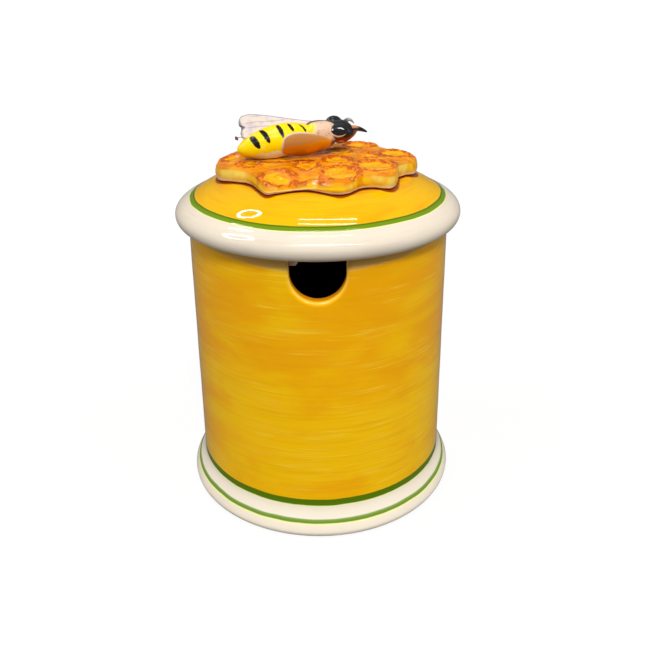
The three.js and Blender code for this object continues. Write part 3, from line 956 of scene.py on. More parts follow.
def comb_outline(columns):
    """The slab's edge, from the node's corners where its side is upright.

    They are sorted by angle, because a ray from the axis crosses the edge only once."""
    mesh = frame["nodes"]["honeycomb_slab"].data
    corners = np.empty(len(mesh.vertices) * 3, np.float32)
    mesh.vertices.foreach_get("co", corners)
    corners = corners.reshape(-1, 3) / MM
    level = comb_low[2] + COMB_EDGE_ROUND
    side = corners[np.abs(corners[:, 2] - level) < OUTLINE_TOLERANCE][:, :2]
    side = side[np.argsort(np.arctan2(side[:, 1], side[:, 0]))]
    apart = np.linalg.norm(side - np.roll(side, 1, axis=0), axis=1) > OUTLINE_TOLERANCE
    return smooth_loop(side[apart], columns)


def from_comb(points):
    """How far each point lies outside the slab's edge, along the ray from the axis."""
    edge_angle = np.arctan2(comb_edge[:, 1], comb_edge[:, 0])
    angle = np.arctan2(points[..., 1], points[..., 0])
    edge_here = np.interp(angle, edge_angle, np.hypot(*comb_edge.T), period=2 * np.pi)
    return np.hypot(points[..., 0], points[..., 1]) - edge_here


comb_edge = comb_outline(COMB_COLUMNS)
ahead = np.roll(comb_edge, -1, axis=0) - np.roll(comb_edge, 1, axis=0)
comb_out = np.column_stack([ahead[:, 1], -ahead[:, 0]])
comb_out /= np.linalg.norm(comb_out, axis=1)[:, None]
beside_comb = np.where(from_shoulder < 0, from_comb(lid_rings), COMB_REACH)
store(lid, "from_comb", np.r_[-COMB_REACH, beside_comb.ravel(), COMB_REACH])
print("comb outline", np.ptp(comb_edge, axis=0).round(1), "mm")

# %% [markdown]
# ### Cells and washes
#
# A cell's rim is a smooth ridge at one distance from its middle, and its floor is what lies
# inside that. Noise pushes the distance about, so the cells aren't perfect circles, and beads
# break up the ridge as they do on the pressed clay. Where the bee sits the comb is flat, and the
# brown shadows painted round the bee are soft ovals.

# %% The bee's place on the comb
BEE_HEADING = np.radians(20.0)
BEE_TAIL = np.array([-0.762, -0.087]) * COMB_REACH
BEE_SEAT = (38.0 / 2, 4.5)
SEAT_FADE = (1.25, 0.95)
SHADE_FADE = (1.2, 0.6)
# Middle, reach along x and y, and strength of the brown shadows painted round the bee.
BEE_SHADES = [
    (-5.5, 12.0, 9.0, 4.5, 1.0), (-12.5, 17.0, 6.0, 6.0, 0.9), (8.5, 34.0, 8.5, 9.0, 1.0),
    (4.0, 14.0, 6.0, 4.0, 0.6), (-28.0, 18.0, 5.0, 5.0, 0.5), (-18.0, -6.5, 11.0, 2.2, 0.6),
    (-5.2, -4.8, 4.4, 2.0, 1.3),
]


def bee_seat(place):
    """1 where the bee's body rests on the comb, which is pressed flat there."""
    x, y = np.moveaxis(place - BEE_TAIL, -1, 0)
    forward = x * np.cos(BEE_HEADING) + y * np.sin(BEE_HEADING)
    sideways = y * np.cos(BEE_HEADING) - x * np.sin(BEE_HEADING)
    half, wide = BEE_SEAT
    return smooth(*SEAT_FADE, np.hypot((forward - half) / half, sideways / wide))


def bee_shade(place):
    """The brown shadows painted round the bee: soft ovals, each as strong as BEE_SHADES says."""
    shade = 0
    for x, y, reach_x, reach_y, strength in BEE_SHADES:
        out = np.hypot((place[..., 0] - x) / reach_x, (place[..., 1] - y) / reach_y)
        shade = np.maximum(shade, smooth(*SHADE_FADE, out) * strength)
    return shade


print("the bee's tail is at", BEE_TAIL.round(1), "mm")

# %% The comb's cells
# Size, seed and number of waves of each unevenness, and how far it reaches.
WANDER_WAVES, WANDER_REACH = (9, 3), 0.8
BEAD_WAVES, BEAD_HEIGHTS = (3.2, 8, 14), (0.75, 0.6)
LUMP_WAVES, LUMP_HEIGHT = (4.5, 21), 0.25
# Where a floor starts and is full: so far inside the rim's line, and in widths of the rim.
FLOOR_START = 0.2
FLOOR_FULL = 1.5


def comb_cells(place):
    """How far each point is a cell's rim and a cell's floor, and the height they give.

    distance is measured from the cell's middle and pulled in at six sides. A rim is
    exp(-((distance - radius) / rim_width)^2), and a floor is a soft step inside it."""
    solid = joined(place[..., 0], place[..., 1], 0)
    uneven = ripple(solid, *WANDER_WAVES) * WANDER_REACH
    rim = floor = crown = 0
    for x, y, radius, rim_width in CELLS:
        offset = place - np.array([x, y]) * COMB_REACH
        angle = np.arctan2(offset[..., 1], offset[..., 0])
        pull = 1 + SIX_SIDED_SHARE * np.cos(6 * angle)
        distance = np.hypot(*np.moveaxis(offset, -1, 0)) * pull + uneven
        rim = np.maximum(rim, np.exp(-((distance - radius) / rim_width) ** 2))
        inside = smooth(radius - FLOOR_START, radius - FLOOR_FULL * rim_width, distance)
        floor = np.maximum(floor, inside)
        crown = np.maximum(crown, inside * (1 - (distance / radius) ** 2))
    even, beaded = BEAD_HEIGHTS
    ridge = rim * (even + beaded * ripple(solid, *BEAD_WAVES)) * CELL_RIM_HEIGHT
    height = ridge - floor * CELL_DEPTH + crown * CELL_CROWN
    height = height + (1 - floor) * ripple(solid, *LUMP_WAVES) * LUMP_HEIGHT
    height = height * (1 - bee_seat(place))
    return rim, floor, np.clip(height, -CELL_DEPTH, CELL_RIM_HEIGHT)


print("cell rims rise", round(CELL_RIM_HEIGHT, 2), "mm and floors sink", CELL_DEPTH, "mm")

# %% [markdown]
# ### The slab's skin
#
# From the middle of the top, rings run out to the edge, over its round, down the side, under the
# lower round and back to the middle. In front the soft clay slumped over its edge, which lowers
# the rim and rounds it more. The whole slab also sagged onto the dome, so it is lowered by most
# of the dome's own fall.

# %% The comb's rings
TOP_ROWS = 125
ROUND_ROWS = 12
SIDE_ROWS = 8
UNDER_ROWS = 6
MIDDLE_SHARES = (0.01, 0.02)
SIDE_LEAN = 0.3
EDGE_SLOPE = 0.4
SLUMP_ROUNDING = 0.7
# The front edge is where y lies below these. Each slump is a place along x, a reach and a drop.
FRONT_EDGE = (-8, -16)
SLUMPS = [(-11.0, 11.0, 2.2), (-2.5, 6.0, 0.9), (9.0, 8.0, 0.9)]

slump = sum(drop * np.exp(-((comb_edge[:, 0] - place) / reach) ** 2) for place, reach, drop in SLUMPS)
slump = slump * smooth(*FRONT_EDGE, comb_edge[:, 1])
top_round = COMB_EDGE_ROUND * (1 + SLUMP_ROUNDING * slump)
top_share = np.linspace(MIDDLE_SHARES[0], 1, TOP_ROWS)[:, None]
under_share = np.linspace(1, MIDDLE_SHARES[1], UNDER_ROWS)[:, None]
turn = np.linspace(0, np.pi / 2, ROUND_ROWS)[1:, None]
rise = np.linspace(1, 0, SIDE_ROWS)[1:-1, None]
inner_edge = comb_edge - comb_out * (top_round + SIDE_LEAN)[:, None]
lower_edge = comb_edge - comb_out * (COMB_EDGE_ROUND + SIDE_LEAN)
flat = np.concatenate([
    inner_edge * top_share[..., None],
    inner_edge + comb_out * (top_round * np.sin(turn))[..., None],
    comb_edge + comb_out * (SIDE_LEAN * (np.sin(rise * np.pi) - 1))[..., None],
    lower_edge + comb_out * COMB_EDGE_ROUND * np.sin(turn[::-1])[..., None],
    lower_edge * under_share[..., None],
])
print("the comb has", len(flat), "rings, and its front drops by up to", slump.max().round(2), "mm")

# %% The comb's mesh
SLOPE_SHARES = (0.5, 1.05)
DRAPE_SHARE = 0.7

side_low = comb_low[2] + COMB_EDGE_ROUND
top_z = COMB_TOP_Z - (EDGE_SLOPE + slump) * smooth(*SLOPE_SHARES, top_share)
over_z = top_z[-1] - top_round * (1 - np.cos(turn))
side_z = side_low + (over_z[-1] - side_low) * rise
whole = np.ones((1, COMB_COLUMNS))
under_z = (side_low - COMB_EDGE_ROUND * np.cos(turn[::-1])) * whole
bottom_z = comb_low[2] * np.ones((UNDER_ROWS, 1)) * whole
level = np.concatenate([top_z, over_z, side_z, under_z, bottom_z])
# The cells' relief is whole on top and dies away over the edge.
fade = np.zeros((len(flat), 1))
fade[:TOP_ROWS] = 1
fade[TOP_ROWS:TOP_ROWS + len(turn)] = np.cos(turn)
dome = lid_rows[:shoulder_row]
drape = CROWN_Z - np.interp(np.hypot(flat[..., 0], flat[..., 1]), dome[:, 0], dome[:, 1])
rim, floor, relief = comb_cells(flat)
comb_z = level + relief * fade - DRAPE_SHARE * drape
comb = surface("honeycomb", joined(flat[..., 0], flat[..., 1], comb_z), (0, 0, comb_z[0].mean()),
               (0, 0, comb_low[2]), rim=rim, cell=floor, top=fade, shade=bee_shade(flat))

# %% [markdown]
# ### The comb's glaze
#
# Amber glaze ran into the cells and lies golden there, with pale flecks painted as glints. A dry
# brush then dragged red and brown over the raised rims, which left a crust, and small glints are
# painted on it. Brown shadows are painted round the bee. The side is tan, lemon and amber in
# turn, with a pink edge where the glaze is thin. Each of these is a short list of coats.

# %% Paints of the comb
AMBER = paint(222, 128, 2)
AMBER_LIGHT = paint(236, 154, 6)
FLOOR_GOLD = paint(242, 174, 6)
FLOOR_ORANGE = paint(230, 138, 2)
FLOOR_PALE_GLINT = paint(253, 208, 52)
COMB_RED = paint(206, 90, 8)
COMB_BROWN = paint(128, 48, 4)
CRUST_ORANGE = paint(232, 124, 14)
CRUST_GLINT = paint(252, 206, 130)
BEE_SHADOW_BROWN = paint(128, 54, 4)
SIDE_LEMON = paint(238, 204, 88)
SIDE_TAN = paint(236, 176, 42)
SIDE_YELLOW = paint(240, 188, 14)
SIDE_AMBER = paint(226, 148, 4)
EDGE_PINK = paint(246, 206, 160)
COMB_NOISES = {
    "cloud": (EVEN, 8.0, 2.0, 0.5, 0.4),
    "strokes": ((0.7, 1.0, 1.0), 3.2, 2.0, 0.5, 0.8),
    "flecks": (EVEN, 1.9, 2.0, 0.5, 1.2),
    "swirl": (EVEN, 4.6, 2.0, 0.5, 1.8),
    "patch": (EVEN, 9.0),
}
TOP_COATS = [
    (AMBER, 1.0, {"cloud": (0.42, 0.6)}),
    (COMB_RED, 0.6, {"strokes": (0.56, 0.72)}),
]
CELL_COATS = [
    (FLOOR_ORANGE, 1.0, {"strokes": (0.45, 0.62)}),
    # Pale flecks painted as small glints on the cell floors.
    (FLOOR_PALE_GLINT, 1.0, {"flecks": (0.6, 0.7)}),
]
CRUST_COATS = [
    (CRUST_ORANGE, 1.0, {"swirl": (0.42, 0.58)}),
    (COMB_BROWN, 0.6, {"off_line": (0.08, 0.02)}),
    # Small glints painted on the crust.
    (CRUST_GLINT, 1.0, {"flecks": (0.66, 0.76)}),
]
SIDE_COATS = [
    (SIDE_TAN, 1.0, {"patch": (0.34, 0.44)}),
    (SIDE_YELLOW, 1.0, {"patch": (0.45, 0.54)}),
    (SIDE_AMBER, 1.0, {"patch": (0.55, 0.65)}),
    (EDGE_PINK, 1.0, {"height": (comb_low[2] + 1.3, comb_low[2] + 0.4)}),
]
print("the comb has", len(TOP_COATS + CELL_COATS + CRUST_COATS + SIDE_COATS), "coats in four lists")

# %% Comb glaze
# The brown lines of the crust follow this level of the swirling noise.
CRUST_LINE = 0.47
BEE_SHADOW_WANDER = 0.5


def comb_colour(tree):
    """Golden cells, crusty orange-brown rims, painted glints and shadows, a tan and yellow side."""
    values = noises(tree, COMB_NOISES) | stored(tree, "rim", "cell", "top", "shade")
    strokes = values["strokes"]
    values["height"] = axes(tree, place_on(tree))["Z"]
    values["off_line"] = sums(tree, "ABSOLUTE", minus(tree, values["swirl"], CRUST_LINE))
    values["ragged"] = plus(tree, values["rim"], minus(tree, strokes, 0.5))
    values["bee_shadow"] = plus(tree, values["shade"], times(tree, strokes, BEE_SHADOW_WANDER))
    top = lay(tree, AMBER_LIGHT, values, TOP_COATS + [
        (lay(tree, FLOOR_GOLD, values, CELL_COATS), 1.0, {"cell": ()}),
        (lay(tree, COMB_RED, values, CRUST_COATS), 0.95, {"ragged": (0.42, 0.66)}),
        # Brown shadows painted on the comb round the bee.
        (BEE_SHADOW_BROWN, 0.9, {"bee_shadow": (0.35, 1.1)}),
    ])
    return lay(tree, SIDE_LEMON, values, SIDE_COATS + [(top, 1.0, {"top": (0.1, 0.75)})])


comb_glaze = glaze("comb_glaze", comb_colour, gloss=(0.04, 0.1), bump_height=0.04, bump_size=1.6)
dress(comb, comb_glaze, "lid", "comb_glaze", "honeycomb_slab")

# %% [markdown]
# ## The bee
#
# The bee was modelled by hand from small lumps of clay, luted together and set on the comb. All
# of it is written in the bee's own frame, with x from the tail to the head, y to its far side and
# z up from the comb, and then turned and set down. Painted strokes are kept as lines on the
# shape: each point stores how deep it lies inside a stroke, and the glaze reads that number.

# %% Shapes for the bee
SEAT_GAP = 0.3


def on_comb(points):
    """From the bee's frame to the pot's: turned by the heading, moved to the tail's place."""
    x, y, z = np.moveaxis(points, -1, 0)
    return joined(
        BEE_TAIL[0] + x * np.cos(BEE_HEADING) - y * np.sin(BEE_HEADING),
        BEE_TAIL[1] + x * np.sin(BEE_HEADING) + y * np.cos(BEE_HEADING), z + COMB_TOP_Z,
    )


def seated(points):
    """Flattens what would sink into the comb, and leaves the joint's gap under it."""
    points[..., 2] = np.maximum(points[..., 2], SEAT_GAP)
    return on_comb(points)


def grid(rows, columns):
    """Shares of the length, crowded at both ends, and angles round it."""
    t = (1 - np.cos(np.linspace(0, np.pi, rows)))[:, None] / 2
    return t, np.arange(columns)[None] / columns * 2 * np.pi


def egg_at(centre, measure, fullness, t, a, corner=1.0):
    """An egg: x = -cos(pi t), with a section of size sin(pi t)^fullness.

    The section is (cos a, sin a) with both raised to `corner`, which below 1 makes it boxy."""
    size = np.sin(np.pi * np.clip(t, 0, 1)) ** fullness
    across, up = (np.sign(wave) * np.abs(wave) ** corner * size for wave in (np.cos(a), np.sin(a)))
    return centre + joined(-np.cos(np.pi * t), across, up) * measure / 2


print("the bee heads", round(np.degrees(BEE_HEADING)), "degrees away from the x axis")

# %% Strokes and glaze for the bee
FAR_OUTSIDE = -99.0
STROKE_STEPS = 14
STROKE_TAPER = 0.55


def near_lines(points, lines, shape):
    """How deep each point lies inside painted strokes, in mm. Outside them it is negative.

    A stroke is a half width and the (t, degrees) corners of its middle line, laid on the
    surface by `shape`. Its width falls by a cube towards both ends."""
    depth = np.full(points.shape[:-1], FAR_OUTSIDE)
    for half_width, corners in lines:
        corners = np.array(corners, float) / (1, RIGHT_ANGLE)
        steps = along(corners, np.linspace(0, lengths(corners)[-1], STROKE_STEPS))
        line = shape(steps[:, 0], np.radians(steps[:, 1] * RIGHT_ANGLE))
        first, run = line[:-1], np.diff(line, axis=0)
        offset = points[..., None, :] - first
        t = np.clip((offset * run).sum(-1) / (run ** 2).sum(-1), 0, 1)
        gap = np.linalg.norm(offset - run * t[..., None], axis=-1)
        taper = half_width * (1 - STROKE_TAPER * np.abs(np.linspace(-1, 1, len(first))) ** 3)
        depth = np.maximum(depth, (taper - gap).max(-1))
    return depth


def brushed(tree, name, edge=0.12, reach=0.35, size=0.8):
    """A painted stroke's mask, whose edge is soft and wanders like a brush mark."""
    uneven = wander(tree, place_on(tree), size, reach, detail=3.0)
    return step(tree, plus(tree, stored(tree, name)[name], uneven), -edge, edge)


def bee_glaze(name, colour_of, bump_height, bump_size):
    """The glaze of a small part: a little less glossy than the pot, with finer ripples."""
    return glaze(name, colour_of, (0.03, 0.07), bump_height, bump_size)


print("strokes are walked in", STROKE_STEPS, "steps")

# %% [markdown]
# ### Abdomen
#
# The abdomen is a fat curved cigar whose tail touches the comb. Its five black strokes were laid
# on wet with a round brush, so they are wide in the middle, ragged at the edge and pressed in a
# little. The glaze runs thin and creamy on the belly.

# %% The abdomen's mesh
ABDOMEN = np.array([31.4, 11.6, 12.4])
ABDOMEN_FULLNESS = 0.53
ABDOMEN_RISE_SHARES = (0.315, 0.64)
ABDOMEN_GRID = (182, 160)
# Each stroke's half width in mm, and the (t, degrees) corners of its middle line.
NEAR_STROKES = [
    (1.15, [(0.16, 111), (0.19, 145), (0.226, 177)]),
    (0.95, [(0.285, 97), (0.32, 132), (0.351, 165)]),
    (0.85, [(0.489, 100), (0.521, 156)]),
    (0.7, [(0.625, 103), (0.659, 141)]),
    (0.55, [(0.765, 110), (0.8, 128), (0.828, 150)]),
]
FAR_STROKES = [(half, [(t, 180 - angle) for t, angle in corners]) for half, corners in NEAR_STROKES]
GROOVE_DEPTH = 0.2
GROOVE_EDGES = (-0.4, 0.5)
GROOVE_WAVES = (1.5, 12)
TINY = 0.001


def abdomen_at(t, a):
    """x = length t. The section is an oval of size sin(pi t)^fullness that rises with t."""
    size = np.sin(np.pi * np.clip(t, 0, 1)) ** ABDOMEN_FULLNESS / 2
    low, high = ABDOMEN_RISE_SHARES
    return joined(t, np.cos(a) * size, low + (high - low) * t + np.sin(a) * size) * ABDOMEN


def abdomen():
    """The abdomen, with its strokes pressed in a little."""
    t, a = grid(*ABDOMEN_GRID)
    points = abdomen_at(t, a)
    ink = near_lines(points, NEAR_STROKES + FAR_STROKES, abdomen_at)
    inward = points.mean(axis=1, keepdims=True) - points
    inward /= np.linalg.norm(inward, axis=-1)[..., None] + TINY
    uneven = 0.5 + 0.5 * ripple(points, *GROOVE_WAVES)
    pressed = smooth(*GROOVE_EDGES, ink) * uneven * GROOVE_DEPTH
    points = seated(points + inward * pressed[..., None])
    return lump("abdomen", points, ink=ink, belly=-np.sin(a), along=t)


abdomen_piece = abdomen()

# %% Yellow glaze
BEE_YELLOW = paint(250, 216, 0)
BEE_LEMON = paint(244, 222, 70)
BEE_CREAM = paint(250, 244, 222)
BELLY_SHADE_OLIVE = paint(150, 132, 60)
INK = paint(22, 22, 16)
YELLOW_PATCH = 4.0
BELLY_WANDER = 0.5
YELLOW_COATS = [
    (BEE_LEMON, 1.0, {"cloud": (0.52, 0.75)}),
    (BEE_CREAM, 1.0, {"belly": (0.62, 0.8), "along": (0.12, 0.34)}),
    # Painted olive shade on the lowest part of the belly, over the comb.
    (BELLY_SHADE_OLIVE, 0.6, {"belly": (0.95, 1.1), "along": (0.1, 0.4, 0.1)}),
    (INK, 1.0, {"ink": ()}),
]


def yellow_colour(tree):
    """Yellow, paler in places, cream on the belly and painted olive shade under it, black strokes."""
    values = stored(tree, "belly", "along")
    values["cloud"] = noise(tree, place_on(tree), YELLOW_PATCH)
    values["belly"] = plus(tree, values["belly"], times(tree, values["cloud"], BELLY_WANDER))
    values["ink"] = brushed(tree, "ink", edge=0.1, reach=0.7, size=0.7)
    return lay(tree, BEE_YELLOW, values, YELLOW_COATS)


yellow_glaze = bee_glaze("bee_yellow_glaze", yellow_colour, bump_height=0.03, bump_size=1.0)
dress(abdomen_piece, yellow_glaze, "lid", "bee_yellow_glaze", "bee_abdomen")

# %% [markdown]
# ### Thorax
#
# The thorax is a blunt lump, almost a block with round corners. Its cream glaze was speckled with
# a stiff brush, and it has a yellow spot behind the wing and a purple-brown line along its top.

# %% The thorax's mesh
THORAX = np.array([11.8, 11.2, 10.2])
THORAX_CENTRE = np.array([ABDOMEN[0] + 0.11 * THORAX[0], 0, 0.71 * THORAX[2]])
THORAX_FULLNESS = 0.4
THORAX_CORNER = 0.75
THORAX_GRID = (102, 120)
THORAX_LUMPS = 0.012
THORAX_WAVES = (5, 4)
YELLOW_SPOT = [(2.2, [(0.13, 122), (0.15, 134)])]
TOP_LINE = [(1.4, [(0.02, 84), (0.5, 88), (0.98, 84)])]


def thorax():
    """The thorax, slightly lumpy, with its yellow spot and the line along its top."""
    def shape(t, a):
        return egg_at(THORAX_CENTRE, THORAX, THORAX_FULLNESS, t, a, THORAX_CORNER)

    t, a = grid(*THORAX_GRID)
    points = shape(t, a)
    spot, line = (near_lines(points, strokes, shape) for strokes in (YELLOW_SPOT, TOP_LINE))
    lumps = 1 - THORAX_LUMPS * (1 + ripple(points, *THORAX_WAVES))
    points = seated(THORAX_CENTRE + (points - THORAX_CENTRE) * lumps[..., None])
    return lump("thorax", points, spot=spot, line=line, low=-np.sin(a), along=t)


thorax_piece = thorax()

# %% Blush glaze
BLUSH = paint(226, 193, 164)
BLUSH_SPECK = paint(196, 140, 112)
BLUSH_LEMON = paint(240, 224, 150)
TOP_BROWN = paint(128, 66, 64)
NECK_BROWN_SHADE = paint(120, 56, 24)
SPECK_NOISE = {"specks": (EVEN, 0.8, 3.0, 0.6)}
BLUSH_COATS = [
    (BLUSH_SPECK, 1.0, {"specks": (0.54, 0.68)}),
    (BLUSH_LEMON, 0.7, {"spot": (-1.6, -0.1)}),
    (BEE_YELLOW, 1.0, {"yellow": ()}),
    # Low on the thorax's front, under the head: brown paint with painted shade.
    (NECK_BROWN_SHADE, 1.0, {"low": (0.0, 0.4), "along": (0.5, 0.75)}),
    (TOP_BROWN, 1.0, {"line": ()}),
]


def blush_colour(tree):
    """Pinkish cream with fine brown specks, a yellow spot in a lemon haze and a brown line."""
    values = noises(tree, SPECK_NOISE) | stored(tree, "spot", "low", "along")
    values["yellow"] = brushed(tree, "spot", edge=0.3)
    values["line"] = brushed(tree, "line", edge=0.2)
    return lay(tree, BLUSH, values, BLUSH_COATS)


blush_glaze = bee_glaze("bee_blush_glaze", blush_colour, bump_height=0.05, bump_size=0.8)
dress(thorax_piece, blush_glaze, "lid", "bee_blush_glaze", "bee_thorax")

# %% [markdown]
# ### Head
#
# The head is an egg drawn out towards the mouth. It is black above, red-brown on the lower face
# and orange at the mouth, with a touch of lilac white under the near eye.

# %% The head's mesh
HEAD = np.array([11.0, 9.4, 8.8])
HEAD_CENTRE = np.array([THORAX_CENTRE[0] + 0.74 * (THORAX[0] + HEAD[0]) / 2, 0, 0.75 * THORAX[2]])
HEAD_BACK_FULLNESS = 0.5
HEAD_FRONT_FULLNESS = 1.15
HEAD_TURN = (0.25, 0.75)
HEAD_GRID = (112, 130)
# Where along the head and how far down its face the snout and the brow are drawn.
SNOUT_DRAW = 1.5
SNOUT_NARROWING = 0.3
SNOUT_ALONG = (0.6, 1)
SNOUT_FACE = (-1.2, 0.0)
BROW_DROP = 0.6
BROW_ALONG = (0.5, 0.95)
BROW_FACE = (0.4, -0.8)
CHEEK_SPOT = [(0.55, [(0.4, 224), (0.5, 226)])]


def head():
    """The head. Its lower front is drawn out to a narrower snout, and its brow slopes down."""
    def shape(t, a):
        change = (HEAD_FRONT_FULLNESS - HEAD_BACK_FULLNESS) * smooth(*HEAD_TURN, t)
        return egg_at(HEAD_CENTRE, HEAD, HEAD_BACK_FULLNESS + change, t, a)

    t, a = grid(*HEAD_GRID)
    points = shape(t, a)
    cheek = near_lines(points, CHEEK_SPOT, shape)
    face = -np.sin(a)
    snout = smooth(*SNOUT_ALONG, t) * smooth(*SNOUT_FACE, face)
    points[..., 0] += SNOUT_DRAW * snout
    points[..., 1] *= 1 - SNOUT_NARROWING * snout
    points[..., 2] -= BROW_DROP * smooth(*BROW_ALONG, t) * smooth(*BROW_FACE, face)
    return lump("head", on_comb(points), face=face, along=t, cheek=cheek)


head_piece = head()

# %% Head glaze
FACE_RED = paint(146, 50, 24)
FACE_ORANGE = paint(204, 108, 44)
CHEEK_LILAC = paint(190, 168, 182)
BEE_BLACK = paint(34, 35, 38)
CAP_GREY_SHEEN = paint(96, 98, 104)
FACE_WANDER = 0.4
HEAD_NOISE = {"cloud": (EVEN, 1.6, 3.0, 0.6)}
HEAD_COATS = [
    # Grey patches painted as the glossy black's sheen.
    (CAP_GREY_SHEEN, 0.5, {"cloud": (0.52, 0.7)}),
    (FACE_RED, 1.0, {"face": (0.5, 0.68)}),
    (FACE_ORANGE, 1.0, {"along": (0.7, 0.84), "face": (0.0, 0.35)}),
    (CHEEK_LILAC, 0.7, {"cheek": ()}),
]


def head_colour(tree):
    """Black above, grey patches painted as sheen, red brown lower face, orange at the mouth."""
    values = noises(tree, HEAD_NOISE) | stored(tree, "face", "along")
    values["face"] = plus(tree, values["face"], times(tree, values["cloud"], FACE_WANDER))
    values["cheek"] = brushed(tree, "cheek", edge=0.25, reach=0.9, size=0.6)
    return lay(tree, BEE_BLACK, values, HEAD_COATS)


head_glaze = bee_glaze("bee_head_glaze", head_colour, bump_height=0.05, bump_size=0.8)
dress(head_piece, head_glaze, "lid", "bee_head_glaze", "bee_head")

# %% [markdown]
# ### Eyes
#
# Two balls of clay were pressed onto the head and glazed black. A fine white line painted under
# the near eye gives it its look, and short white lines over both eyes are painted glints. They are
# strokes too, so they follow the ball's surface.

# %% Eyes
NODE_SIDE = {"far": "left", "near": "right"}
HEAD_ROLL = np.radians(9.0)
EYE_GRID = (92, 100)
# Each eye's size in mm, its place in shares of the head, and its white lines. The near eye's
# first line is paint, and the other lines are painted glints.
EYES = {
    "far": ((7.0, 4.8, 6.0), (-0.12, 0.42, 0.2), [(0.14, [(0.5, 150), (0.6, 152)])]),
    "near": ((7.4, 4.6, 5.4), (-0.22, -0.44, 0.19), [
        (0.42, [(0.03, 175), (0.12, 203), (0.25, 217), (0.4, 222), (0.6, 218), (0.7, 212)]),
        (0.2, [(0.42, 146), (0.52, 148), (0.64, 160)]),
        (0.26, [(0.2, 146), (0.23, 150)]),
    ]),
}
LINE_AND_GLINT_WHITE = paint(238, 246, 250)


def eye(name):
    """A bulging eye with its painted white lines. The head's roll lowers the near eye."""
    size, place, lines = EYES[name]
    offset = HEAD * place
    centre = HEAD_CENTRE + offset + (0, 0, offset[1] * np.tan(HEAD_ROLL))

    def shape(t, a):
        return egg_at(centre, np.array(size), 1.0, t, a)

    points = shape(*grid(*EYE_GRID))
    return lump(f"{name}_eye", on_comb(points), line=near_lines(points, lines, shape))


def eye_colour(tree):
    """Black with white painted lines and painted glints."""
    return mix(tree, brushed(tree, "line", edge=0.12, reach=0.2), BEE_BLACK, LINE_AND_GLINT_WHITE)


eye_glaze = bee_glaze("bee_eye_glaze", eye_colour, bump_height=0.02, bump_size=0.8)
for name, side in NODE_SIDE.items():
    dress(eye(name), eye_glaze, "lid", "bee_eye_glaze", f"bee_eye_{side}")

# %% [markdown]
# ### Wings
#
# Each wing is a thin leaf of clay, cupped a little and tilted up from the back. Its outline is
# a product of two powers, which is wide near the end and narrow at the root, and its section is
# a flat oval. The far one's end is dented, and the near one bulges at its lower edge.

# %% Wing shapes
# The root is in shares of the thorax, the tip in shares of the abdomen.
WINGS = {
    "far": dict(
        side=1, length=32.8, width=12.2, tilt=48.0, blunt=0.0, powers=(1.4, 0.2), dent=0.045,
        bulge=0.0, root=(0.3, 0.38, 1.14), tip=(0.132, 0.8, 0.76)),
    "near": dict(
        side=-1, length=24.4, width=10.9, tilt=58.0, blunt=0.12, powers=(0.8, 0.3), dent=0.0,
        bulge=0.3, root=(0.44, -0.34, 0.48), tip=(0.45, -0.83, 0.54)),
}
WING_ROWS = 130
WING_COLUMNS = 120
WING_THICKNESS = 1.5
WING_CUP = 0.9
BULGE_PLACE, BULGE_LENGTH = 0.5, 0.26
DENT_PLACE, DENT_WIDTH = 0.15, 0.14
DENT_START = 0.75
END_RIM_SHARE = 0.6
UNDER_EDGES = (0.2, -0.2)


def hump(value, place, length):
    """exp(-((value - place) / length)^2), which is 1 at the place and dies away beside it."""
    return np.exp(-((value - place) / length) ** 2)


def leaf_width(t, powers):
    """(t / w)^p ((1 - t) / (1 - w))^q, which is 1 at its widest place w = p / (p + q)."""
    p, q = powers
    widest = p / (p + q)
    return (t / widest) ** p * ((1 - t) / (1 - widest)) ** q


def wing(name):
    """A leaf-shaped plate, cupped upwards at its edges.

    Its end may have a dent, and its lower edge may bulge by 1 + bulge hump(t)."""
    values = WINGS[name]
    tilt, side = np.radians(values["tilt"]), values["side"]
    root = THORAX_CENTRE * (1, 1, 0) + THORAX * values["root"]
    run = ABDOMEN * values["tip"] - root
    run *= values["length"] / np.linalg.norm(run)
    outward = np.array([0, side * np.cos(tilt), np.sin(tilt)])
    upward = np.array([0, -side * np.sin(tilt), np.cos(tilt)])
    sweep = np.sin(np.linspace(0, np.pi / 2, WING_ROWS))[:, None]
    t = values["blunt"] + (1 - values["blunt"]) * sweep
    a = np.arange(WING_COLUMNS)[None] / WING_COLUMNS * 2 * np.pi
    leaf, wide = leaf_width(t, values["powers"]), values["width"] / 2
    across = np.cos(a) * leaf
    bulge = 1 + values["bulge"] * hump(t, BULGE_PLACE, BULGE_LENGTH) * (np.cos(a) < 0)
    dent = values["dent"] * hump(across, DENT_PLACE, DENT_WIDTH) * smooth(DENT_START, 1, t)
    rise = np.sin(a) * np.sqrt(leaf) * WING_THICKNESS / 2 + (across ** 2 - 1) * WING_CUP
    points = on_comb(
        root + run * (t - dent)[..., None] + outward * (across * bulge * wide)[..., None]
        + upward * rise[..., None]
    )
    # The root's row is a wide ring, so it closes at its middle.
    points[0] = points[0].mean(axis=0)
    to_side = (1 - np.abs(np.cos(a))) * leaf * wide
    rim = np.minimum(to_side, (1 - t) * values["length"] * END_RIM_SHARE)
    return lump(f"{name}_wing", points, rim=rim, under=smooth(*UNDER_EDGES, np.sin(a)),
                across=across, along=t)


wings = {name: wing(name) for name in WINGS}

# %% [markdown]
# ### The wings' glazes
#
# The far wing is pearl white with a grey outline and grey veins, drawn along it with a fine
# brush. The near one turns its underside to the viewer: there painted shade and a painted orange
# reflection of the comb run from tan at the top to orange and brown below. Both read how far
# across and along the leaf a point lies.

# %% Wing glazes
PEARL = paint(226, 210, 200)
PEARL_LILAC = paint(208, 192, 192)
VEIN_GREY = paint(112, 110, 118)
WING_SHADE_TAN = paint(210, 158, 94)
WING_REFLECTED_ORANGE = paint(238, 160, 10)
WING_SHADE_BROWN = paint(166, 90, 4)
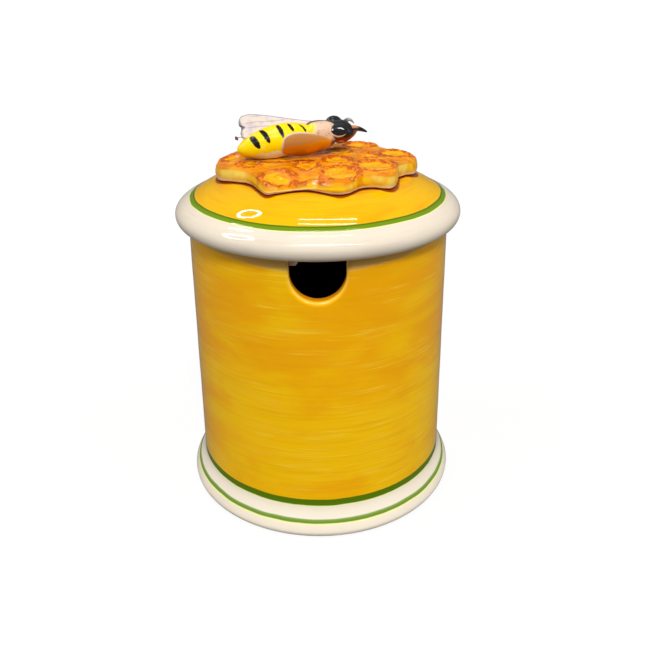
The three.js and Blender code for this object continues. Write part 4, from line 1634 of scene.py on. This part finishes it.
# Each vein's place across the wing, and where along it starts and ends.
VEINS = [(0.9, 0.72, 0.86), (0.5, 0.45, 0.93), (0.15, 0.6, 0.95)]
VEIN_WIDTH = 0.05
VEIN_WANDER = 0.25
FAR_NOISES = {"cloud": (EVEN, 3.0), "shake": (EVEN, 5.0)}
FAR_COATS = [
    (PEARL_LILAC, 1.0, {"cloud": (0.45, 0.65)}),
    (VEIN_GREY, 0.85, {"rim": (0.6, 0.2), "across": (-0.9, 0.1)}),
] + [
    (VEIN_GREY, 0.5, {"path": (place, place + VEIN_WIDTH, 0.07), "along": (low, high, 0.06)})
    for place, low, high in VEINS
]
# Painted shade, with the comb's reflection painted in orange, on the near wing's underside.
UNDERSIDE_SHADE_COATS = [
    (WING_REFLECTED_ORANGE, 1.0, {"path": (0.7, 0.25)}),
    (WING_SHADE_BROWN, 1.0, {"path": (0.05, -0.55)}),
]
NEAR_RIM_COAT = (PEARL, 1.0, {"rim": (0.5, 0.2), "along": (0.35, 0.6)})
HOLLOW_WANDER = (5.0, 0.8)
HOLLOW_SLANT = 0.5
ROOT_SHARES = (0.5, 0.3)


def far_wing_colour(tree):
    """Pearl on both sides, outlined in grey along the upper edge, with grey veins."""
    values = noises(tree, FAR_NOISES) | stored(tree, "rim", "across", "along")
    shake = times(tree, values["shake"], VEIN_WANDER)
    values["path"] = plus(tree, values["across"], shake)
    return lay(tree, PEARL, values, FAR_COATS)


def near_wing_colour(tree):
    """Pearl above and at the rim; under it, tan, orange and brown painted shade and reflection."""
    values = stored(tree, "rim", "across", "along", "under")
    shaky = plus(tree, values["across"], wander(tree, place_on(tree), *HOLLOW_WANDER))
    values["path"] = plus(tree, shaky, times(tree, values["along"], HOLLOW_SLANT))
    values["shown"] = sums(tree, "MAXIMUM", values["under"],
                           step(tree, values["along"], *ROOT_SHARES))
    hollow = lay(tree, WING_SHADE_TAN, values, UNDERSIDE_SHADE_COATS)
    return lay(tree, PEARL, values, [(hollow, 1.0, {"shown": ()}), NEAR_RIM_COAT])


for name, colour_of in {"far": far_wing_colour, "near": near_wing_colour}.items():
    wing_glaze = bee_glaze(f"{name}_wing_glaze", colour_of, bump_height=0.03, bump_size=1.2)
    dress(wings[name], wing_glaze, "lid", "wing_glaze", f"bee_wing_{NODE_SIDE[name]}")

# %% [markdown]
# ### Antennae and stinger
#
# These are the thinnest bits of clay: rolled between the fingers to a point, bent and stuck on.
# One function carries a round section along a bent path.

# %% Horn shapes
# Length and thickness in mm, the root, the bend and tip in shares of the length, and the bulb.
HORNS = {
    "far_antenna": (4.6, 1.9, HEAD_CENTRE + HEAD * (0.19, 0.2, 0.25),
                    (0.45, 0, 0.75), (1, 0.08, -0.05), 0.0),
    "near_antenna": (6.6, 2.6, HEAD_CENTRE + HEAD * (0.34, -0.2, 0.12),
                     (0.45, 0, 0.04), (1, -0.06, -0.26), 0.0),
    "stinger": (4.6, 1.6, ABDOMEN * (0.13, 0, 0.6), (-0.6, 0, 0.45), (-1, 0, 0.05), 0.8),
}
HORN_GRID = (70, 36)
BULB_PLACE, BULB_LENGTH, BULB_SIZE = 0.86, 0.1, 1.6
ROOT_ROUND = (-0.01, 0.02)


def horn(name):
    """A round horn along the curve (1-t)^2 root + 2t(1-t) bend + t^2 tip.

    Its radius falls as sqrt(1 - t), and a bulb may swell near its tip."""
    length, thickness, root, bend, tip, bulb = HORNS[name]
    bend, tip = (np.array(share) * length + root for share in (bend, tip))
    t, a = grid(*HORN_GRID)
    middle = (1 - t) ** 2 * root + 2 * t * (1 - t) * bend + t ** 2 * tip
    sideways = np.array([0.0, 1.0, 0.0])
    across = np.cross(sideways, np.gradient(middle, axis=0))
    across /= np.linalg.norm(across, axis=1)[:, None]
    swell = hump(t, BULB_PLACE, BULB_LENGTH) * np.sqrt(1 - t ** 8)
    size = np.sqrt(1 - t) * (1 - bulb) + bulb * BULB_SIZE * swell
    size = size * thickness / 2 * smooth(*ROOT_ROUND, t)
    points = (middle[:, None] + sideways * (np.cos(a) * size)[..., None]
              + across[:, None] * (np.sin(a) * size)[..., None])
    return lump(name, on_comb(points), along=t, below=-np.sin(a))


horns = {name: horn(name) for name in HORNS}

# %% [markdown]
# ### Their glazes
#
# The antennae were dipped in the head's black and wiped, so grey shows on the far one. The near
# one has a painted grey highlight on its back, and pink clay under its root. The stinger is the
# purple brown of the line on the thorax.

# %% Glazes of the antennae and stinger
ANTENNA_HIGHLIGHT_GREY = paint(132, 133, 138)
ANTENNA_PINK = paint(196, 134, 100)
ANTENNA_PALE = paint(186, 184, 186)
STINGER_BROWN = paint(126, 70, 88)
STINGER_PATCH = 1.0
FAR_ANTENNA_COATS = [(ANTENNA_PALE, 1.0, {"along": (0.1, 0.6)})]
NEAR_ANTENNA_COATS = [
    (ANTENNA_PINK, 1.0, {"along": (0.5, 0.3), "below": (0.0, 0.6)}),
    # A painted grey highlight along the near antenna's back.
    (ANTENNA_HIGHLIGHT_GREY, 1.0, {"below": (-0.2, -0.6), "along": (0.85, 0.65)}),
]


def far_antenna_colour(tree):
    """Worn grey, darker at the root."""
    return lay(tree, BEE_BLACK, stored(tree, "along"), FAR_ANTENNA_COATS)


def near_antenna_colour(tree):
    """Painted grey highlight on its back, black below and at the tip, brown pink under its root."""
    return lay(tree, BEE_BLACK, stored(tree, "along", "below"), NEAR_ANTENNA_COATS)


def stinger_colour(tree):
    """Purple brown, darker in patches."""
    return mix(tree, noise(tree, place_on(tree), STINGER_PATCH), STINGER_BROWN, TOP_BROWN)


HORN_LOOKS = {
    "far_antenna": (far_antenna_colour, "antenna_glaze", "bee_antenna_left"),
    "near_antenna": (near_antenna_colour, "antenna_glaze", "bee_antenna_right"),
    "stinger": (stinger_colour, "stinger_glaze", "bee_stinger"),
}
for name, (colour_of, slot, cad_node) in HORN_LOOKS.items():
    horn_glaze = bee_glaze(f"{name}_glaze", colour_of, bump_height=0.02, bump_size=0.5)
    dress(horns[name], horn_glaze, "lid", slot, cad_node)

# %% [markdown]
# ## Floor
#
# A plain pale floor runs past the picture's edge on all sides. To the camera it is nearly white,
# but it keeps the pot's soft shadow. Light that bounces off it finds a greyer floor, so the pot
# isn't lit too strongly from below.

# %% Floor
FLOOR_REACH = 20000.0
FLOOR_WHITE_SHARE = 0.8
MIRRORED_WHITE_SHARE = 0.05
FLOOR_SEEN = paint(240, 240, 240)
FLOOR_BOUNCE = paint(105, 105, 105)
WHITE = paint(255, 255, 255)


def floor_material():
    """A diffuse floor: pale to the camera, greyer to the light that bounces off it."""
    material = bpy.data.materials.new("floor")
    material.use_nodes = True
    tree = material.node_tree
    tree.nodes.clear()
    rays = node(tree, "ShaderNodeLightPath", {})
    seen, mirrored = rays.outputs["Is Camera Ray"], rays.outputs["Is Glossy Ray"]
    share = plus(tree, times(tree, seen, FLOOR_WHITE_SHARE),
                 times(tree, mirrored, MIRRORED_WHITE_SHARE))
    colour = mix(tree, seen, FLOOR_BOUNCE, FLOOR_SEEN)
    matt = node(tree, "ShaderNodeBsdfDiffuse", {"Color": colour}).outputs[0]
    white = node(tree, "ShaderNodeEmission", {"Color": WHITE}).outputs[0]
    both = node(tree, "ShaderNodeMixShader", {0: share, 1: matt, 2: white}).outputs[0]
    node(tree, "ShaderNodeOutputMaterial", {"Surface": both})
    return material


corners = np.array([(-1, -1, 0), (1, -1, 0), (1, 1, 0), (-1, 1, 0)]) * FLOOR_REACH * MM
floor_mesh = bpy.data.meshes.new("floor")
floor_mesh.from_pydata(corners.tolist(), [], [(0, 1, 2, 3)])
floor_mesh.materials.append(floor_material())
floor_piece = bpy.data.objects.new("floor", floor_mesh)
bpy.context.scene.collection.objects.link(floor_piece)
print("floor reaches", FLOOR_REACH * MM, "m to each side")

# %% [markdown]
# ## World and lamps
#
# A photographer's tent gives light from nearly everywhere: a sky that is dim at the horizon and
# brighter overhead, and four broad soft lamps. Suns are used because their light is even over
# the whole pot. They are hidden from reflections, so that beside the sky and the floor the glaze
# mirrors only what the next step puts there.

# %% World
HORIZON_LIGHT = 0.13
OVERHEAD_LIGHT = 0.38
SKY_HEIGHTS = (0.1, 0.8)


def grey(value):
    """A grey of the given linear value."""
    return (value, value, value, 1.0)


world = bpy.data.worlds.new("studio")
world.use_nodes = True
tree = world.node_tree
direction = node(tree, "ShaderNodeTexCoord", {}).outputs["Generated"]
rise = step(tree, axes(tree, direction)["Z"], *SKY_HEIGHTS)
sky = mix(tree, rise, grey(HORIZON_LIGHT), grey(OVERHEAD_LIGHT))
seen = node(tree, "ShaderNodeLightPath", {}).outputs["Is Camera Ray"]
tree.links.new(mix(tree, seen, sky, WHITE), tree.nodes["Background"].inputs["Color"])
bpy.context.scene.world = world
print("the sky's light runs from", HORIZON_LIGHT, "to", OVERHEAD_LIGHT)

# %% Soft lamps
LAMP_DISTANCE = 600.0
LAMP_TARGET = (0, 0, 110)
# Direction from the pot, strength, and the angle that the lamp's disc fills, in degrees.
SOFT_LAMPS = {
    "key": ((0.08, -0.64, 0.78), 2.36, 15.0),
    "left_fill": ((-0.9, -0.3, 0.6), 0.84, 50.0),
    "right_fill": ((0.9, -0.3, 0.6), 0.8, 50.0),
    "back_fill": ((-0.1, 0.85, 0.5), 0.6, 60.0),
}


def lamp(name, kind, strength, away, distance=LAMP_DISTANCE, target=LAMP_TARGET, side=(1, 0, 0),
         **settings):
    """A lamp in the direction `away` from its target. Its own x axis is turned towards `side`."""
    data = bpy.data.lights.new(name, kind)
    data.energy = strength
    for key, value in settings.items():
        setattr(data, key, value)
    away = Vector(away).normalized()
    up = away.cross(Vector(side)).normalized()
    made = bpy.data.objects.new(name, data)
    turn = Matrix((up.cross(away), up, away)).transposed().to_4x4()
    made.matrix_world = Matrix.Translation((Vector(target) + away * distance) * MM) @ turn
    bpy.context.scene.collection.objects.link(made)
    return made


for name, (away, strength, degrees) in SOFT_LAMPS.items():
    lamp(name, "SUN", strength, away, angle=np.radians(degrees)).visible_glossy = False
    print(name, "has strength", strength)

# %% [markdown]
# ## Highlights
#
# A glossy glaze mirrors the lamps as small sharp shapes: a ring and long strips on the dome and
# the rim. White paint would stay in place when the view changes, so these are true reflections.
# The lamps are seen only in reflections and add no light to the painted colours.

# %% Shapes on the lamps' faces
FACE_MIDDLE = 0.5
RING_SHARES = (0.37, 0.49)
RING_SOFT = 0.03
STRIP_SOFT = 0.01
# Slope, bend, and the low and high edge of each strip, in shares of the lamp's face.
STRIP_SHARES = {
    "dome_strips": (0.18, 0.78, [(0.075, 0.125), (-0.27, -0.22)]),
    "rim_strip": (0.0, -1.7, [(0.13, 0.23)]),
}


def lamp_face(tree):
    """Where a ray meets the lamp's face, as shares of its width and height from its middle."""
    face = axes(tree, node(tree, "ShaderNodeNewGeometry", {}).outputs["Parametric"])
    return [minus(tree, face[axis], FACE_MIDDLE) for axis in "XY"]


def ring_shape(tree):
    """1 on a ring drawn on the lamp's face, from its distance to the face's middle."""
    across, up = lamp_face(tree)
    offset = node(tree, "ShaderNodeCombineXYZ", {0: across, 1: up}).outputs[0]
    return band(tree, length_of(tree, offset), *RING_SHARES, RING_SOFT)


def strips_shape(tree, slope, bend, shares):
    """1 on bent strips across the lamp's face, where y = slope x + bend x^2 + a share."""
    across, up = lamp_face(tree)
    bent = plus(tree, times(tree, times(tree, across, across), bend), times(tree, across, slope))
    level = minus(tree, up, bent)
    shown = 0.0
    for low, high in shares:
        shown = plus(tree, band(tree, level, low, high, STRIP_SOFT), shown)
    return shown


print("strips on", ", ".join(STRIP_SHARES))

# %% Lamps that only reflections see
# Place and target in mm, the direction of its width, width and height in mm, and radiance.
REFLECTED_LAMPS = {
    "dome_ring": ((-227, 187, 523), (-23, -37, 125), (0.65, -0.4, 0.57), (100, 54), 50.0),
    "rim_ring": ((-348, -32, 503), (-26, -46, 120), (0.76, 0, 0.64), (196, 180), 45.0),
    "dome_strips": ((32, 78, 607), (3, -44, 125), (1, 0, 0), (216, 90), 50.0),
    "rim_strip": ((26, -179, 338), (3, -52, 119), (1, -0.04, -0.13), (262, 80), 100.0),
}
for name, (place, target, side, (wide, high), radiance) in REFLECTED_LAMPS.items():
    away = np.subtract(place, target)
    power = radiance * np.pi * wide * high * MM ** 2
    made = lamp(name, "AREA", power, away, np.linalg.norm(away), target, side,
                shape="RECTANGLE", size=wide * MM, size_y=high * MM)
    made.visible_camera = made.visible_diffuse = False
    made.data.use_nodes = True
    tree = made.data.node_tree
    shape = strips_shape(tree, *STRIP_SHARES[name]) if name in STRIP_SHARES else ring_shape(tree)
    tree.links.new(shape, tree.nodes["Emission"].inputs["Strength"])
    print(name, "shines", round(power, 2), "W")
